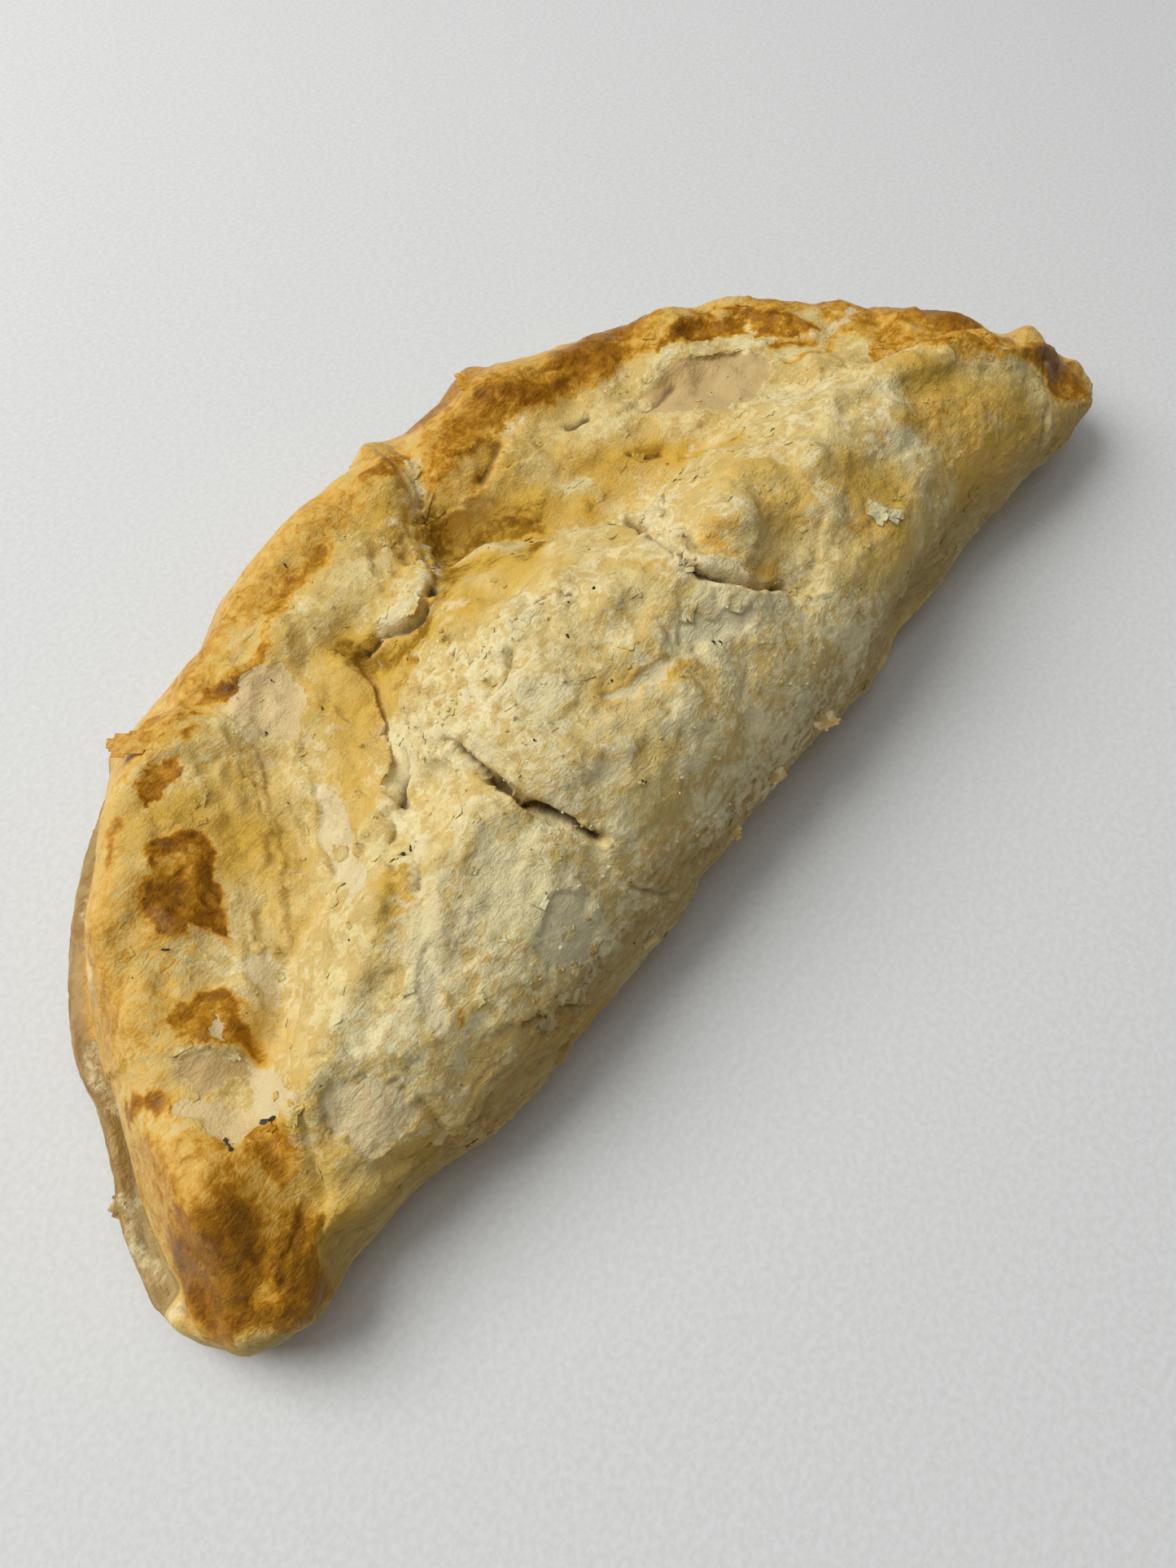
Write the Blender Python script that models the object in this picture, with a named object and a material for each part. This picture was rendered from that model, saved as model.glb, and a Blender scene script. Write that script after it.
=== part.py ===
# Cornish pasty: a half-moon of pastry folded over its filling, uncut and solid.
# Metres, +Z up. The folded side faces -Y, the crimped side +Y, and the underside lies flat on z = 0.
# Distances below are in millimetres from the middle of the fold line; the last step moves the
# origin to the middle of the outline's box and turns millimetres into metres.

import math

import bmesh
import bpy
import numpy as np
from mathutils import Vector, noise

MM = 0.001
MIDDLE_OF_BOX = (-1.9, 41.7)

# Outline seen from above: half a superellipse for the crimp, a much flatter one for the fold.
HALF_LENGTH = 105.5
CRIMP_DEPTH = 87.0
FOLD_BULGE = 6.0
CRIMP_POWER = 2.3
FOLD_POWER = 6.0
HEART = (0.0, 36.0)

# Corners of loose pastry on the edge, and places where the edge is pinched in:
# x, y, how far the edge juts out and how far along the edge that reaches.
EDGE_CORNERS = {
    "blunt near end": (-105, 12, 4.0, 22.0),
    "near corner": (-106, -5, -4.0, 10.0),
    "left flake": (-61, 75, 3.0, 5.0),
    "pinch right of it": (-47, 80, -4.5, 14.0),
    "upper flake": (4, 87, 2.5, 6.0),
    "pinch at the pleat": (17, 87, -1.5, 8.0),
    "pleat corner": (32, 85, 4.5, 8.0),
    "far shoulder": (92, 48, -2.5, 26.0),
    "far end": (106, -4, -6.0, 14.0),
    "dent in the fold": (66, -6, -4.5, 26.0),
}

# The mound of filling under the top sheet, and two bellies where it reaches further from the fold:
# x, half width and depth.
MOUND_HEIGHT = 37.0
MOUND_HALF_LENGTH = 96.0
MOUND_RIDGE_Y = 13.0
MOUND_RIDGE_Y_LEFT = 6.0
MOUND_REACH_Y = 36.0
MIDDLE_BELLY = (-14.0, 22.0, 24.0)
RIGHT_BELLY = (32.0, 22.0, 6.0)

# The crimp: a thick roll that follows the curved edge, wraps both ends and slopes in to the mound.
ROLL_CREST_IN = 12.0
ROLL_FOOT_IN = 40.0
ROLL_HEIGHT_LEFT = 21.0
ROLL_HEIGHT_RIGHT = 17.0
ROLL_END_ANGLE = 0.26
EDGE_HEIGHT = 8.0
EDGE_CALM = 9.0
VALLEY_HEIGHT_LEFT = 14.0
VALLEY_HEIGHT_RIGHT = 19.0

# The lower sheet shows as a ledge under the roll, at the near end and the left.
LEDGE_WIDTH = 4.0
LEDGE_HEIGHT = 5.0
LEDGE_START = -62.0
LEDGE_FULL = -76.0

# Height of the widest line round the side, and how square the side is above and below it.
SIDE_LINE_CRIMP = 4.5
SIDE_LINE_FOLD = 11.0
SIDE_SQUARENESS_CRIMP = 7.0
SIDE_SQUARENESS_FOLD = 2.4
FLATTENED_BASE = 0.8

# Hollows and lumps of the top sheet: x, y, half length, half width, turn in degrees, rise (+) or sink (-).
FORMS = {
    "hollow under the lip": (-30, 55, 9, 4.5, 0, -4.0),
    "long hollow": (-5, 59, 14, 6, -10, -3.5),
    "hollow beyond it": (12, 47, 8, 6, -35, -2.0),
    "hollow behind the right lump": (29, 42, 9, 4.5, -20, -2.0),
    "peeled hollow": (50, 46, 14, 7, -38, -1.5),
    "hollow under the right lump": (15, 9, 6, 3.5, 20, -2.5),
    "right lump": (19, 20, 13, 9, -12, 3.0),
    "middle panel": (-15, 22, 17, 18, 0, 1.5),
    "left panel": (-56, 9, 14, 11, 12, 1.5),
    "crumbly lip": (-20, 58, 14, 7, 12, 1.5),
    "roll at the left": (-79, 46, 15, 10, 52, 3.0),
    "roll at the near end": (-95, 12, 8, 13, 8, 2.0),
    "pleat at the top": (26, 74, 14, 7, -10, 3.0),
    "far shoulder": (62, 22, 20, 10, -12, 2.0),
    "fold bulge right": (26, -1, 14, 6, 0, 2.0),
}

# Steam vents: two cuts across the mound, as x and y along each. The far lip stands higher.
VENTS = {
    "left vent": ((-44, 27), (-39.5, 24.5), (-38.5, 18), (-38, 10), (-36.5, 1.5)),
    "right vent": ((7.5, 31), (7.5, 23), (6, 18), (8.5, 14), (11, 8.5), (13, 4.5)),
}
VENT_DEPTH = 3.0
VENT_HALF_WIDTH = 2.4
VENT_LIP = 2.0
VENT_LIP_REACH = 9.0

# The torn lip that stands over the valley, as x and y along it.
LIP = ((-4, 67), (-7, 60), (-12.5, 54), (-18, 49), (-26, 51), (-31, 52), (-36, 46), (-43, 34), (-50, 26))
LIP_HEIGHT = 3.5
LIP_REACH = 12.0
TORN_EDGE = 3.0

# Creases between the roll and the mound, and pleats across the roll.
CREASES = {
    "near end": ((-91, -7), (-89, 3), (-85, 13), (-80, 18), (-74, 20)),
    "far end": ((97, -5), (94, 6), (89, 16)),
    "upper pleat": ((13, 89), (4, 76), (-5, 64)),
    "left pleat": ((-60, 78), (-54, 68), (-50, 60)),
}
CREASE_DEPTH = 2.2
CREASE_HALF_WIDTH = 2.6

# Flaky lamination: terraces of torn layers.
FLAKE_SIZE = 13.0
FLAKE_STEP = 0.7
FLAKE_STEPS = 3.0
RUMPLE_SIZE = 9.0
RUMPLE_HEIGHT = 0.8

CAGE_CUTS = 119
TRIANGLES = 11400

CRUST_COLOUR = (0.72, 0.55, 0.27, 1.0)
CRUST_ROUGHNESS = 0.7


def clear_scene():
    for thing in list(bpy.data.objects):
        bpy.data.objects.remove(thing)


def crust_material():
    material = bpy.data.materials.new("baked_crust")
    material.use_nodes = True
    shader = material.node_tree.nodes["Principled BSDF"]
    shader.inputs["Base Color"].default_value = CRUST_COLOUR
    shader.inputs["Roughness"].default_value = CRUST_ROUGHNESS
    shader.inputs["Metallic"].default_value = 0.0
    return material


def smooth_step(low, high, value):
    share = np.clip((value - low) / (high - low), 0.0, 1.0)
    return share * share * (3.0 - 2.0 * share)


def outline(angle):
    """The outline's points, seen from above, in the directions given from the heart."""
    cos, sin = np.cos(angle), np.sin(angle)
    near, far = np.zeros_like(angle), np.full_like(angle, 2.5 * HALF_LENGTH)
    for _ in range(40):
        middle = 0.5 * (near + far)
        x, y = HEART[0] + middle * cos, HEART[1] + middle * sin
        deep = np.where(y > 0, CRIMP_DEPTH, FOLD_BULGE)
        power = np.where(y > 0, CRIMP_POWER, FOLD_POWER)
        inside = (np.abs(x) / HALF_LENGTH) ** power + (np.abs(y) / deep) ** power < 1.0
        near, far = np.where(inside, middle, near), np.where(inside, far, middle)
    x, y = HEART[0] + near * cos, HEART[1] + near * sin
    for corner_x, corner_y, jut, reach in EDGE_CORNERS.values():
        away = np.hypot(x - corner_x, y - corner_y)
        push = jut * np.clip(1.0 - away / reach, 0.0, 1.0)
        x, y = x + push * cos, y + push * sin
    return x, y


def distance_to_line(x, y, points):
    """How far each place is from a line through the points, and which side of it, left being positive."""
    nearest, side = np.full(x.shape, 1e9), np.ones(x.shape)
    for (ax, ay), (bx, by) in zip(points, points[1:]):
        along_x, along_y = bx - ax, by - ay
        length = math.hypot(along_x, along_y)
        share = ((x - ax) * along_x + (y - ay) * along_y) / length**2
        share = np.clip(share, 0.0, 1.0)
        away = np.hypot(x - ax - share * along_x, y - ay - share * along_y)
        turn = np.sign(along_x * (y - ay) - along_y * (x - ax))
        side = np.where(away < nearest, turn, side)
        nearest = np.minimum(away, nearest)
    return nearest, side


def distance_from_crimp(x, y):
    """How far inside the crimped edge each place is."""
    angle = np.linspace(-ROLL_END_ANGLE, math.pi + ROLL_END_ANGLE, 260)
    edge_x, edge_y = outline(angle)
    nearest = np.full(x.shape, 1e9)
    for ex, ey in zip(edge_x, edge_y):
        nearest = np.minimum(nearest, np.hypot(x - ex, y - ey))
    return nearest


def belly(x, form):
    middle, half_width, depth = form
    return depth * np.exp(-(((x - middle) / half_width) ** 4))


def valley_height(x):
    rise = smooth_step(10.0, 50.0, x)
    return VALLEY_HEIGHT_LEFT + (VALLEY_HEIGHT_RIGHT - VALLEY_HEIGHT_LEFT) * rise


def with_mound(x, y, base):
    """Raises the mound of filling out of the base height."""
    ends = np.clip(1.0 - np.abs(x / MOUND_HALF_LENGTH) ** 2.2, 0.0, 1.0)
    ridge = MOUND_RIDGE_Y + (MOUND_RIDGE_Y_LEFT - MOUND_RIDGE_Y) * smooth_step(-35.0, -75.0, x)
    reach = MOUND_REACH_Y * np.sqrt(ends) + belly(x, MIDDLE_BELLY) + belly(x, RIGHT_BELLY)
    across = np.clip((y - ridge) / np.maximum(reach - ridge, 4.0), 0.0, 1.0)
    top = valley_height(x) + (MOUND_HEIGHT - valley_height(x)) * ends**0.6
    return base + np.maximum(top - base, 0.0) * (1.0 - across**2) ** 1.3


def roll(x, inward):
    ledge = LEDGE_WIDTH * smooth_step(LEDGE_START, LEDGE_FULL, x)
    crest = ROLL_HEIGHT_LEFT + (ROLL_HEIGHT_RIGHT - ROLL_HEIGHT_LEFT) * smooth_step(-70.0, 80.0, x)
    rise = np.clip((inward - ledge) / (ROLL_CREST_IN - ledge), 0.0, 1.0)
    outer = EDGE_HEIGHT + (crest - EDGE_HEIGHT) * np.sin(0.5 * math.pi * rise)
    outer = np.where(inward < ledge, LEDGE_HEIGHT, outer)
    fall = smooth_step(ROLL_CREST_IN, ROLL_FOOT_IN, inward)
    return np.where(inward < ROLL_CREST_IN, outer, crest + (valley_height(x) - crest) * fall)


def forms(x, y):
    total = np.zeros(x.shape)
    for cx, cy, half_length, half_width, turn, rise in FORMS.values():
        cos, sin = math.cos(math.radians(turn)), math.sin(math.radians(turn))
        along = ((x - cx) * cos + (y - cy) * sin) / half_length
        across = ((y - cy) * cos - (x - cx) * sin) / half_width
        total += rise * np.exp(-(along**2 + across**2))
    return total


def vents_and_creases(x, y):
    total = np.zeros(x.shape)
    for points in VENTS.values():
        away, side = distance_to_line(x, y, points)
        total -= VENT_DEPTH * np.exp(-((away / VENT_HALF_WIDTH) ** 2))
        far_side = smooth_step(-TORN_EDGE, TORN_EDGE, side * away)
        total += VENT_LIP * far_side * np.exp(-((away / VENT_LIP_REACH) ** 2))
    away, side = distance_to_line(x, y, LIP)
    outer = smooth_step(-TORN_EDGE, TORN_EDGE, -side * away)
    total += LIP_HEIGHT * outer * np.exp(-away / LIP_REACH)
    for points in CREASES.values():
        away, _ = distance_to_line(x, y, points)
        total -= CREASE_DEPTH * np.exp(-((away / CREASE_HALF_WIDTH) ** 2))
    return total


def lamination(x, y):
    """Torn layers, as terraces, and the rumple of a baked sheet."""
    total = np.zeros(x.shape)
    for i, place in enumerate(zip(x, y)):
        spot = Vector((*place, 0.0))
        layers = noise.fractal(spot / FLAKE_SIZE, 1.0, 2.0, 3) * FLAKE_STEPS
        riser = smooth_step(0.3, 0.7, layers - math.floor(layers))
        terrace = (math.floor(layers) + riser) * FLAKE_STEP
        total[i] = terrace + RUMPLE_HEIGHT * noise.noise(spot / RUMPLE_SIZE)
    return total


def pasty_shape(sphere):
    """Moves the points of a unit sphere to the surface of the pasty, in millimetres."""
    angle = np.arctan2(sphere[:, 1], sphere[:, 0])
    out = np.clip(np.hypot(sphere[:, 0], sphere[:, 1]), 0.0, 1.0)
    upper = sphere[:, 2] > 0
    edge_x, edge_y = outline(angle)
    x = HEART[0] + (edge_x - HEART[0]) * out
    y = HEART[1] + (edge_y - HEART[1]) * out
    fold_share = smooth_step(6.0, -4.0, edge_y)
    side_line = SIDE_LINE_CRIMP + (SIDE_LINE_FOLD - SIDE_LINE_CRIMP) * fold_share
    square = SIDE_SQUARENESS_CRIMP + (SIDE_SQUARENESS_FOLD - SIDE_SQUARENESS_CRIMP) * fold_share
    share = np.clip(1.0 - out**square, 0.0, 1.0) ** (1.0 / square)
    inward = distance_from_crimp(x, y)
    relief = forms(x, y) + vents_and_creases(x, y) + lamination(x, y)
    crown = with_mound(x, y, roll(x, inward))
    crown += relief * smooth_step(0.0, EDGE_CALM, inward)
    above = side_line + (crown - side_line) * share
    below = np.maximum(side_line * (1.0 - share) - FLATTENED_BASE, 0.0)
    height = np.where(upper, above, below)
    return np.stack([x - MIDDLE_OF_BOX[0], y - MIDDLE_OF_BOX[1], height], axis=1)


def build_pasty(collection):
    shape = bmesh.new()
    bmesh.ops.create_cube(shape, size=2.0)
    bmesh.ops.subdivide_edges(shape, edges=shape.edges[:], cuts=CAGE_CUTS, use_grid_fill=True)
    cube = np.array([vertex.co for vertex in shape.verts])
    squared = cube**2
    pull = 1.0 - 0.5 * (np.roll(squared, 1, 1) + np.roll(squared, 2, 1))
    pull += np.roll(squared, 1, 1) * np.roll(squared, 2, 1) / 3.0
    sphere = cube * np.sqrt(pull)
    for vertex, place in zip(shape.verts, pasty_shape(sphere)):
        vertex.co = Vector(place) * MM
    mesh = bpy.data.meshes.new("pasty")
    shape.to_mesh(mesh)
    shape.free()
    pasty = bpy.data.objects.new("pasty", mesh)
    collection.objects.link(pasty)
    pasty.data.materials.append(crust_material())
    thin = pasty.modifiers.new("Fewer faces", "DECIMATE")
    thin.ratio = TRIANGLES / (2.0 * len(mesh.polygons))
    return pasty


def main():
    clear_scene()
    collection = bpy.data.collections.new("cornish_pasty")
    bpy.context.scene.collection.children.link(collection)
    build_pasty(collection)


main()
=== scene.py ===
# %% [markdown]
# A cornish pasty is a round of flaky dough folded over its filling. The curved side is rolled up into
# a thick crimp and brushed with egg, so it bakes golden and glossy, and the mound keeps a dull, floury
# top that flakes into thin sheets. The solid part already has the big forms: the mound, the roll, the
# hollows and the two steam vents. This lesson dresses it: fine relief, colours, loose flakes, crumbs.

import math

import bmesh
import bpy
import numpy as np
from mathutils import Matrix, Vector, kdtree
from mathutils.bvhtree import BVHTree


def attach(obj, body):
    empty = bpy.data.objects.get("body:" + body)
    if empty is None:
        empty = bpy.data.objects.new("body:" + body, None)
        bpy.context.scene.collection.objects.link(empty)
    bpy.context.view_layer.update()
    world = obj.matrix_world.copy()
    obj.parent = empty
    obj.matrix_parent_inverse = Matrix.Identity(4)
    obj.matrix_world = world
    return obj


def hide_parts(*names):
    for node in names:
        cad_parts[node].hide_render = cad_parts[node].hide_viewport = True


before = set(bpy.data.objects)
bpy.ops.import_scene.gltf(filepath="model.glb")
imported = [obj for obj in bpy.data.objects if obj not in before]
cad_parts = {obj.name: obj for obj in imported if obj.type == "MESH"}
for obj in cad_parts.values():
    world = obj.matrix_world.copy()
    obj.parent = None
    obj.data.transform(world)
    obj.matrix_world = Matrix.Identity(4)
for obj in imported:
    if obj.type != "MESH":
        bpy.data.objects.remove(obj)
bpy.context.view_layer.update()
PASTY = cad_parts["pasty"]
MM = 0.001

# %% [markdown]
# The camera comes first, because the marks on the crust are placed by looking through it. It is a wide
# phone lens held close over the near tip and tilted 60 degrees down. Blender turns a camera from looking
# straight down, so a tilt of 30 degrees about X and a turn about Z are all it needs.

# %% The camera
PHOTO_WIDTH, PHOTO_HEIGHT = 1445, 1927
SENSOR = 36.0
LENS = 27.03
NEAREST = 0.005
CAMERA_PLACE = Vector((-86.33, -81.21, 158.73))
CAMERA_TILT = math.radians(30.0)
CAMERA_TURN = math.radians(-50.475)

camera_data = bpy.data.cameras.new("camera")
camera_data.lens = LENS
camera_data.sensor_width = SENSOR
camera_data.clip_start = NEAREST
camera = bpy.data.objects.new("camera", camera_data)
camera.location = CAMERA_PLACE * MM
camera.rotation_euler = (CAMERA_TILT, 0.0, CAMERA_TURN)
bpy.context.collection.objects.link(camera)
bpy.context.scene.camera = camera
bpy.context.scene.view_settings.view_transform = "Standard"
print("camera at", tuple(round(value, 1) for value in CAMERA_PLACE), "mm")

# %% [markdown]
# The pasty lies on a plain pale floor. A wide flat grid is enough for it. Its finish is a light grey
# with a very fine grain, because no real surface is quite even.

# %% The floor
def colour(red, green, blue):
    """A colour written as on a screen, from 0 to 255, made linear for a shader."""
    shares = [value / 255 for value in (red, green, blue)]
    return tuple(s / 12.92 if s <= 0.04045 else ((s + 0.055) / 1.055) ** 2.4 for s in shares) + (1.0,)


def add(tree, kind, inputs=None, **settings):
    """A shader node with its settings, and each input set to a value or joined to another node's output."""
    made = tree.nodes.new("ShaderNode" + kind)
    for name, value in settings.items():
        setattr(made, name, value)
    for name, value in (inputs or {}).items():
        if isinstance(value, bpy.types.NodeSocket):
            tree.links.new(value, made.inputs[name])
        else:
            made.inputs[name].default_value = value
    return made


def new_finish(name, roughness):
    """An empty finish: its node tree and its main shader."""
    finish = bpy.data.materials.new(name)
    finish.use_nodes = True
    shader = finish.node_tree.nodes["Principled BSDF"]
    shader.inputs["Roughness"].default_value = roughness
    return finish, finish.node_tree, shader


def blend(tree, amount, under, over):
    """Two colours mixed, from under at 0 to over at 1."""
    mixed = add(tree, "Mix", data_type="RGBA", clamp_factor=True)
    for socket, value in ((0, amount), (6, under), (7, over)):
        if isinstance(value, bpy.types.NodeSocket):
            tree.links.new(value, mixed.inputs[socket])
        else:
            mixed.inputs[socket].default_value = value
    return mixed.outputs[2]


def number(tree, operation, first, second=0.0):
    """Arithmetic on one or two numbers."""
    return add(tree, "Math", {0: first, 1: second}, operation=operation).outputs[0]


def slope(tree, value, low, high, start=0.0, end=1.0):
    """A number taken smoothly from start to end while value goes from low to high."""
    inputs = {"Value": value, "From Min": low, "From Max": high, "To Min": start, "To Max": end}
    return add(tree, "MapRange", inputs, interpolation_type="SMOOTHSTEP").outputs[0]


def grain(tree, place, size, detail=4.0, rough=0.55, swirl=0.0):
    """Cloudy noise with lumps of about size mm."""
    inputs = {"Vector": place, "Scale": 1 / MM / size, "Detail": detail, "Roughness": rough}
    inputs["Distortion"] = swirl
    return add(tree, "TexNoise", inputs).outputs["Fac"]


FLOOR_SIDE = 6.0
FLOOR_DARK, FLOOR_LIGHT = colour(214, 216, 216), colour(222, 224, 225)
FIBRE_SIZE = 0.9
FIBRE_DEPTH = 0.08

paper_finish, tree, shader = new_finish("paper_finish", 0.9)
place = add(tree, "TexCoord").outputs["Object"]
fibre = grain(tree, place, FIBRE_SIZE, 3.0)
tone = blend(tree, slope(tree, fibre, 0.3, 0.7), FLOOR_DARK, FLOOR_LIGHT)
tree.links.new(tone, shader.inputs["Base Color"])
bump = add(tree, "Bump", {"Height": fibre, "Distance": FIBRE_DEPTH * MM, "Strength": 0.6})
tree.links.new(bump.outputs["Normal"], shader.inputs["Normal"])

paper_mesh = bpy.data.meshes.new("paper")
shape = bmesh.new()
bmesh.ops.create_grid(shape, x_segments=1, y_segments=1, size=FLOOR_SIDE / 2)
shape.to_mesh(paper_mesh)
shape.free()
paper_mesh.materials.append(paper_finish)
paper = bpy.data.objects.new("paper", paper_mesh)
bpy.context.collection.objects.link(paper)

# %% [markdown]
# Two big soft lamps are enough. One stands high behind the crimp, so the fold falls into shade, and one
# hangs overhead, so the shadow on the floor stays pale. Weak even light from all round fills the rest.
# Each lamp has its direction, its distance and width in metres, and its power in watts.

# %% Light
LAMPS = {
    "window_lamp": (Vector((-0.42, 0.68, 1.0)), 1.1, 0.9, 11.0),
    "ceiling_lamp": (Vector((0.05, 0.12, 1.0)), 1.4, 1.6, 4.8),
}
LAMP_COLOUR = (1.0, 0.99, 0.965)
ROOM_COLOUR = (0.98, 0.98, 1.0, 1.0)
FILL = 0.14


def hang_lamp(name, direction, distance, size, power):
    """A round soft lamp that shines on the pasty from a direction."""
    data = bpy.data.lights.new(name, "AREA")
    data.shape = "DISK"
    data.size = size
    data.energy = power
    data.color = LAMP_COLOUR
    lamp = bpy.data.objects.new(name, data)
    lamp.location = direction.normalized() * distance
    lamp.rotation_euler = direction.to_track_quat("Z", "Y").to_euler()
    bpy.context.collection.objects.link(lamp)
    print(name, "at", tuple(round(value, 2) for value in lamp.location), "m")


for name, (direction, distance, size, power) in LAMPS.items():
    hang_lamp(name, direction, distance, size, power)

world = bpy.data.worlds.new("room")
world.use_nodes = True
background = world.node_tree.nodes["Background"]
background.inputs["Color"].default_value = ROOM_COLOUR
background.inputs["Strength"].default_value = FILL
bpy.context.scene.world = world

# %% [markdown]
# Every mark has a place on the crust. A mark seen at a pixel of the photograph lies where the ray
# through that pixel first meets the solid, so marks are written as pixels and turned into millimetres.
# That keeps them right from every side, because each one is then a place on the surface.

# %% From pixels to places on the crust
def surface_tree(mesh):
    """A mesh as a tree of its faces in mm, on which rays are cast and nearest places found."""
    corners = [vertex.co / MM for vertex in mesh.vertices]
    return BVHTree.FromPolygons(corners, [tuple(face.vertices) for face in mesh.polygons])


SOLID = surface_tree(PASTY.data)
FOCAL = LENS / SENSOR * PHOTO_HEIGHT
EDGE_LEVEL = 5.0


def look_through(pixel):
    """The direction in which the camera sees a pixel."""
    across, down = pixel[0] - PHOTO_WIDTH / 2, pixel[1] - PHOTO_HEIGHT / 2
    return camera.rotation_euler.to_matrix() @ Vector((across, -down, -FOCAL)).normalized()


def pixel_on_level(pixel, level):
    """The place that a pixel shows at a height above the table, in mm."""
    look = look_through(pixel)
    return CAMERA_PLACE + look * ((level - CAMERA_PLACE.z) / look.z)


def on_crust(pixel):
    """The place on the crust that a pixel shows, or the nearest one to a pixel just outside it."""
    hit = SOLID.ray_cast(CAMERA_PLACE, look_through(pixel))[0]
    if hit is None:
        hit = SOLID.find_nearest(pixel_on_level(pixel, EDGE_LEVEL))[0]
    return hit


def trail(pixels):
    """A row of pixels as a row of places on the crust."""
    return np.array([on_crust(pixel) for pixel in pixels])


middle = on_crust((PHOTO_WIDTH // 2, PHOTO_HEIGHT // 2))
print("the middle of the picture shows", [round(value, 1) for value in middle], "mm")

# %% [markdown]
# Pastry is never regular, so nearly every shape below is shaken by noise. Blender's own noise works on
# one point at a time. This one does a few hundred thousand points at once: it gives each corner of a
# grid a random direction and blends between the eight corners round each point.

# %% Noise for many points at once
SEED = 7
NOISE_PERIOD = 256
NOISE_GAIN = 1.7
LAYER_SHIFT = 17.3
DIRECTIONS = np.random.default_rng(SEED).normal(size=(NOISE_PERIOD, 3))
DIRECTIONS /= np.linalg.norm(DIRECTIONS, axis=1)[:, None]
SHUFFLE = np.random.default_rng(SEED + 1).permutation(NOISE_PERIOD)


def noise(points, size, layer=0):
    """Smooth noise from about -1 to 1, with lumps of about size mm. Each layer is another pattern."""
    spots = points / size + LAYER_SHIFT * layer
    cell = np.floor(spots).astype(int)
    inside = spots - cell
    ease = inside ** 3 * (inside * (inside * 6 - 15) + 10)
    total = np.zeros(len(points))
    for corner in np.ndindex(2, 2, 2):
        index = SHUFFLE[(cell[:, 2] + corner[2]) % NOISE_PERIOD]
        index = SHUFFLE[(index + cell[:, 1] + corner[1]) % NOISE_PERIOD]
        index = SHUFFLE[(index + cell[:, 0] + corner[0] + layer) % NOISE_PERIOD]
        share = np.prod(np.where(corner, ease, 1 - ease), axis=1)
        total += share * np.sum(DIRECTIONS[index] * (inside - corner), axis=1)
    return total * NOISE_GAIN


def rough_noise(points, size, octaves, layer=0):
    """Noise with finer and finer noise added, each half as strong."""
    total = np.zeros(len(points))
    for octave in range(octaves):
        total += noise(points, size / 2 ** octave, layer + octave) * 0.5 ** octave
    return total


def smooth(low, high, value):
    """0 below low, 1 above high and an even slope between."""
    share = np.clip((value - low) / (high - low), 0, 1)
    return share * share * (3 - 2 * share)


# %% [markdown]
# The marks are strokes, edges and patches. A stroke fades out from a line. An edge is one sheet lying
# over another: it rises slowly towards the line and then drops. A patch is a closed outline with a
# ragged border. All three need the distance from each point to a row of places.

# %% Distance from a row of places
TINY = 1e-9


def beside(points, places, reach):
    """Which points lie within reach of the line, how far off, and 1 on its left or -1 on its right."""
    low, high = places.min(axis=0) - reach, places.max(axis=0) + reach
    rows = np.flatnonzero(np.all((points > low) & (points < high), axis=1))
    close = points[rows]
    off = np.full(len(rows), np.inf)
    side = np.ones(len(rows))
    starts, ends = (places[:-1], places[1:]) if len(places) > 1 else (places, places + 0.01)
    for start, end in zip(starts, ends):
        run = end - start
        share = np.clip((close - start) @ run / (run @ run + TINY), 0, 1)
        gap = close - start - share[:, None] * run
        distance = np.linalg.norm(gap, axis=1)
        nearer = distance < off
        off[nearer] = distance[nearer]
        side[nearer] = np.sign(run[0] * gap[nearer, 1] - run[1] * gap[nearer, 0])
    return rows, off, side


def inside_outline(points, outline):
    """True where a point lies inside the closed outline, seen from above."""
    found = np.zeros(len(points), bool)
    for start, end in zip(outline, np.roll(outline, -1, axis=0)):
        crosses = (start[1] > points[:, 1]) != (end[1] > points[:, 1])
        x = start[0] + (points[:, 1] - start[1]) * (end[0] - start[0]) / (end[1] - start[1] + TINY)
        found ^= crosses & (points[:, 0] < x)
    return found


# %% [markdown]
# The crust itself starts as a copy of the solid. The solid is coarse, so the copy is remeshed into an
# even skin of small faces, which is what fine relief needs, and smoothed to lose the old facets.

# %% A fine skin over the solid
SKIN_STEP = 0.44
SMOOTHING = 7
MERGE_WITHIN = 1e-6


def bake_modifiers(thing):
    """Gives a piece the mesh that its modifiers make, and clears them."""
    finished = thing.evaluated_get(bpy.context.evaluated_depsgraph_get())
    mesh = bpy.data.meshes.new_from_object(finished)
    thing.modifiers.clear()
    thing.data = mesh


shape = bmesh.new()
shape.from_mesh(PASTY.data)
bmesh.ops.remove_doubles(shape, verts=shape.verts, dist=MERGE_WITHIN)
crust_mesh = bpy.data.meshes.new("crust")
shape.to_mesh(crust_mesh)
shape.free()
crust_mesh.materials.clear()
crust = bpy.data.objects.new("crust", crust_mesh)
bpy.context.collection.objects.link(crust)
remesh = crust.modifiers.new("even skin", "REMESH")
remesh.mode = "VOXEL"
remesh.voxel_size = SKIN_STEP * MM
remesh.use_smooth_shade = True
even = crust.modifiers.new("no facets", "SMOOTH")
even.factor = 0.5
even.iterations = SMOOTHING
bake_modifiers(crust)
crust_mesh = crust.data


def triangles(mesh):
    """How many triangles a mesh comes to."""
    return sum(len(face.vertices) - 2 for face in mesh.polygons)


def numbers(mesh_values, key, width=3):
    """One value of every vertex, as rows of numbers."""
    values = np.empty(len(mesh_values) * width)
    mesh_values.foreach_get(key, values)
    return values.reshape(-1, width)


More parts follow.
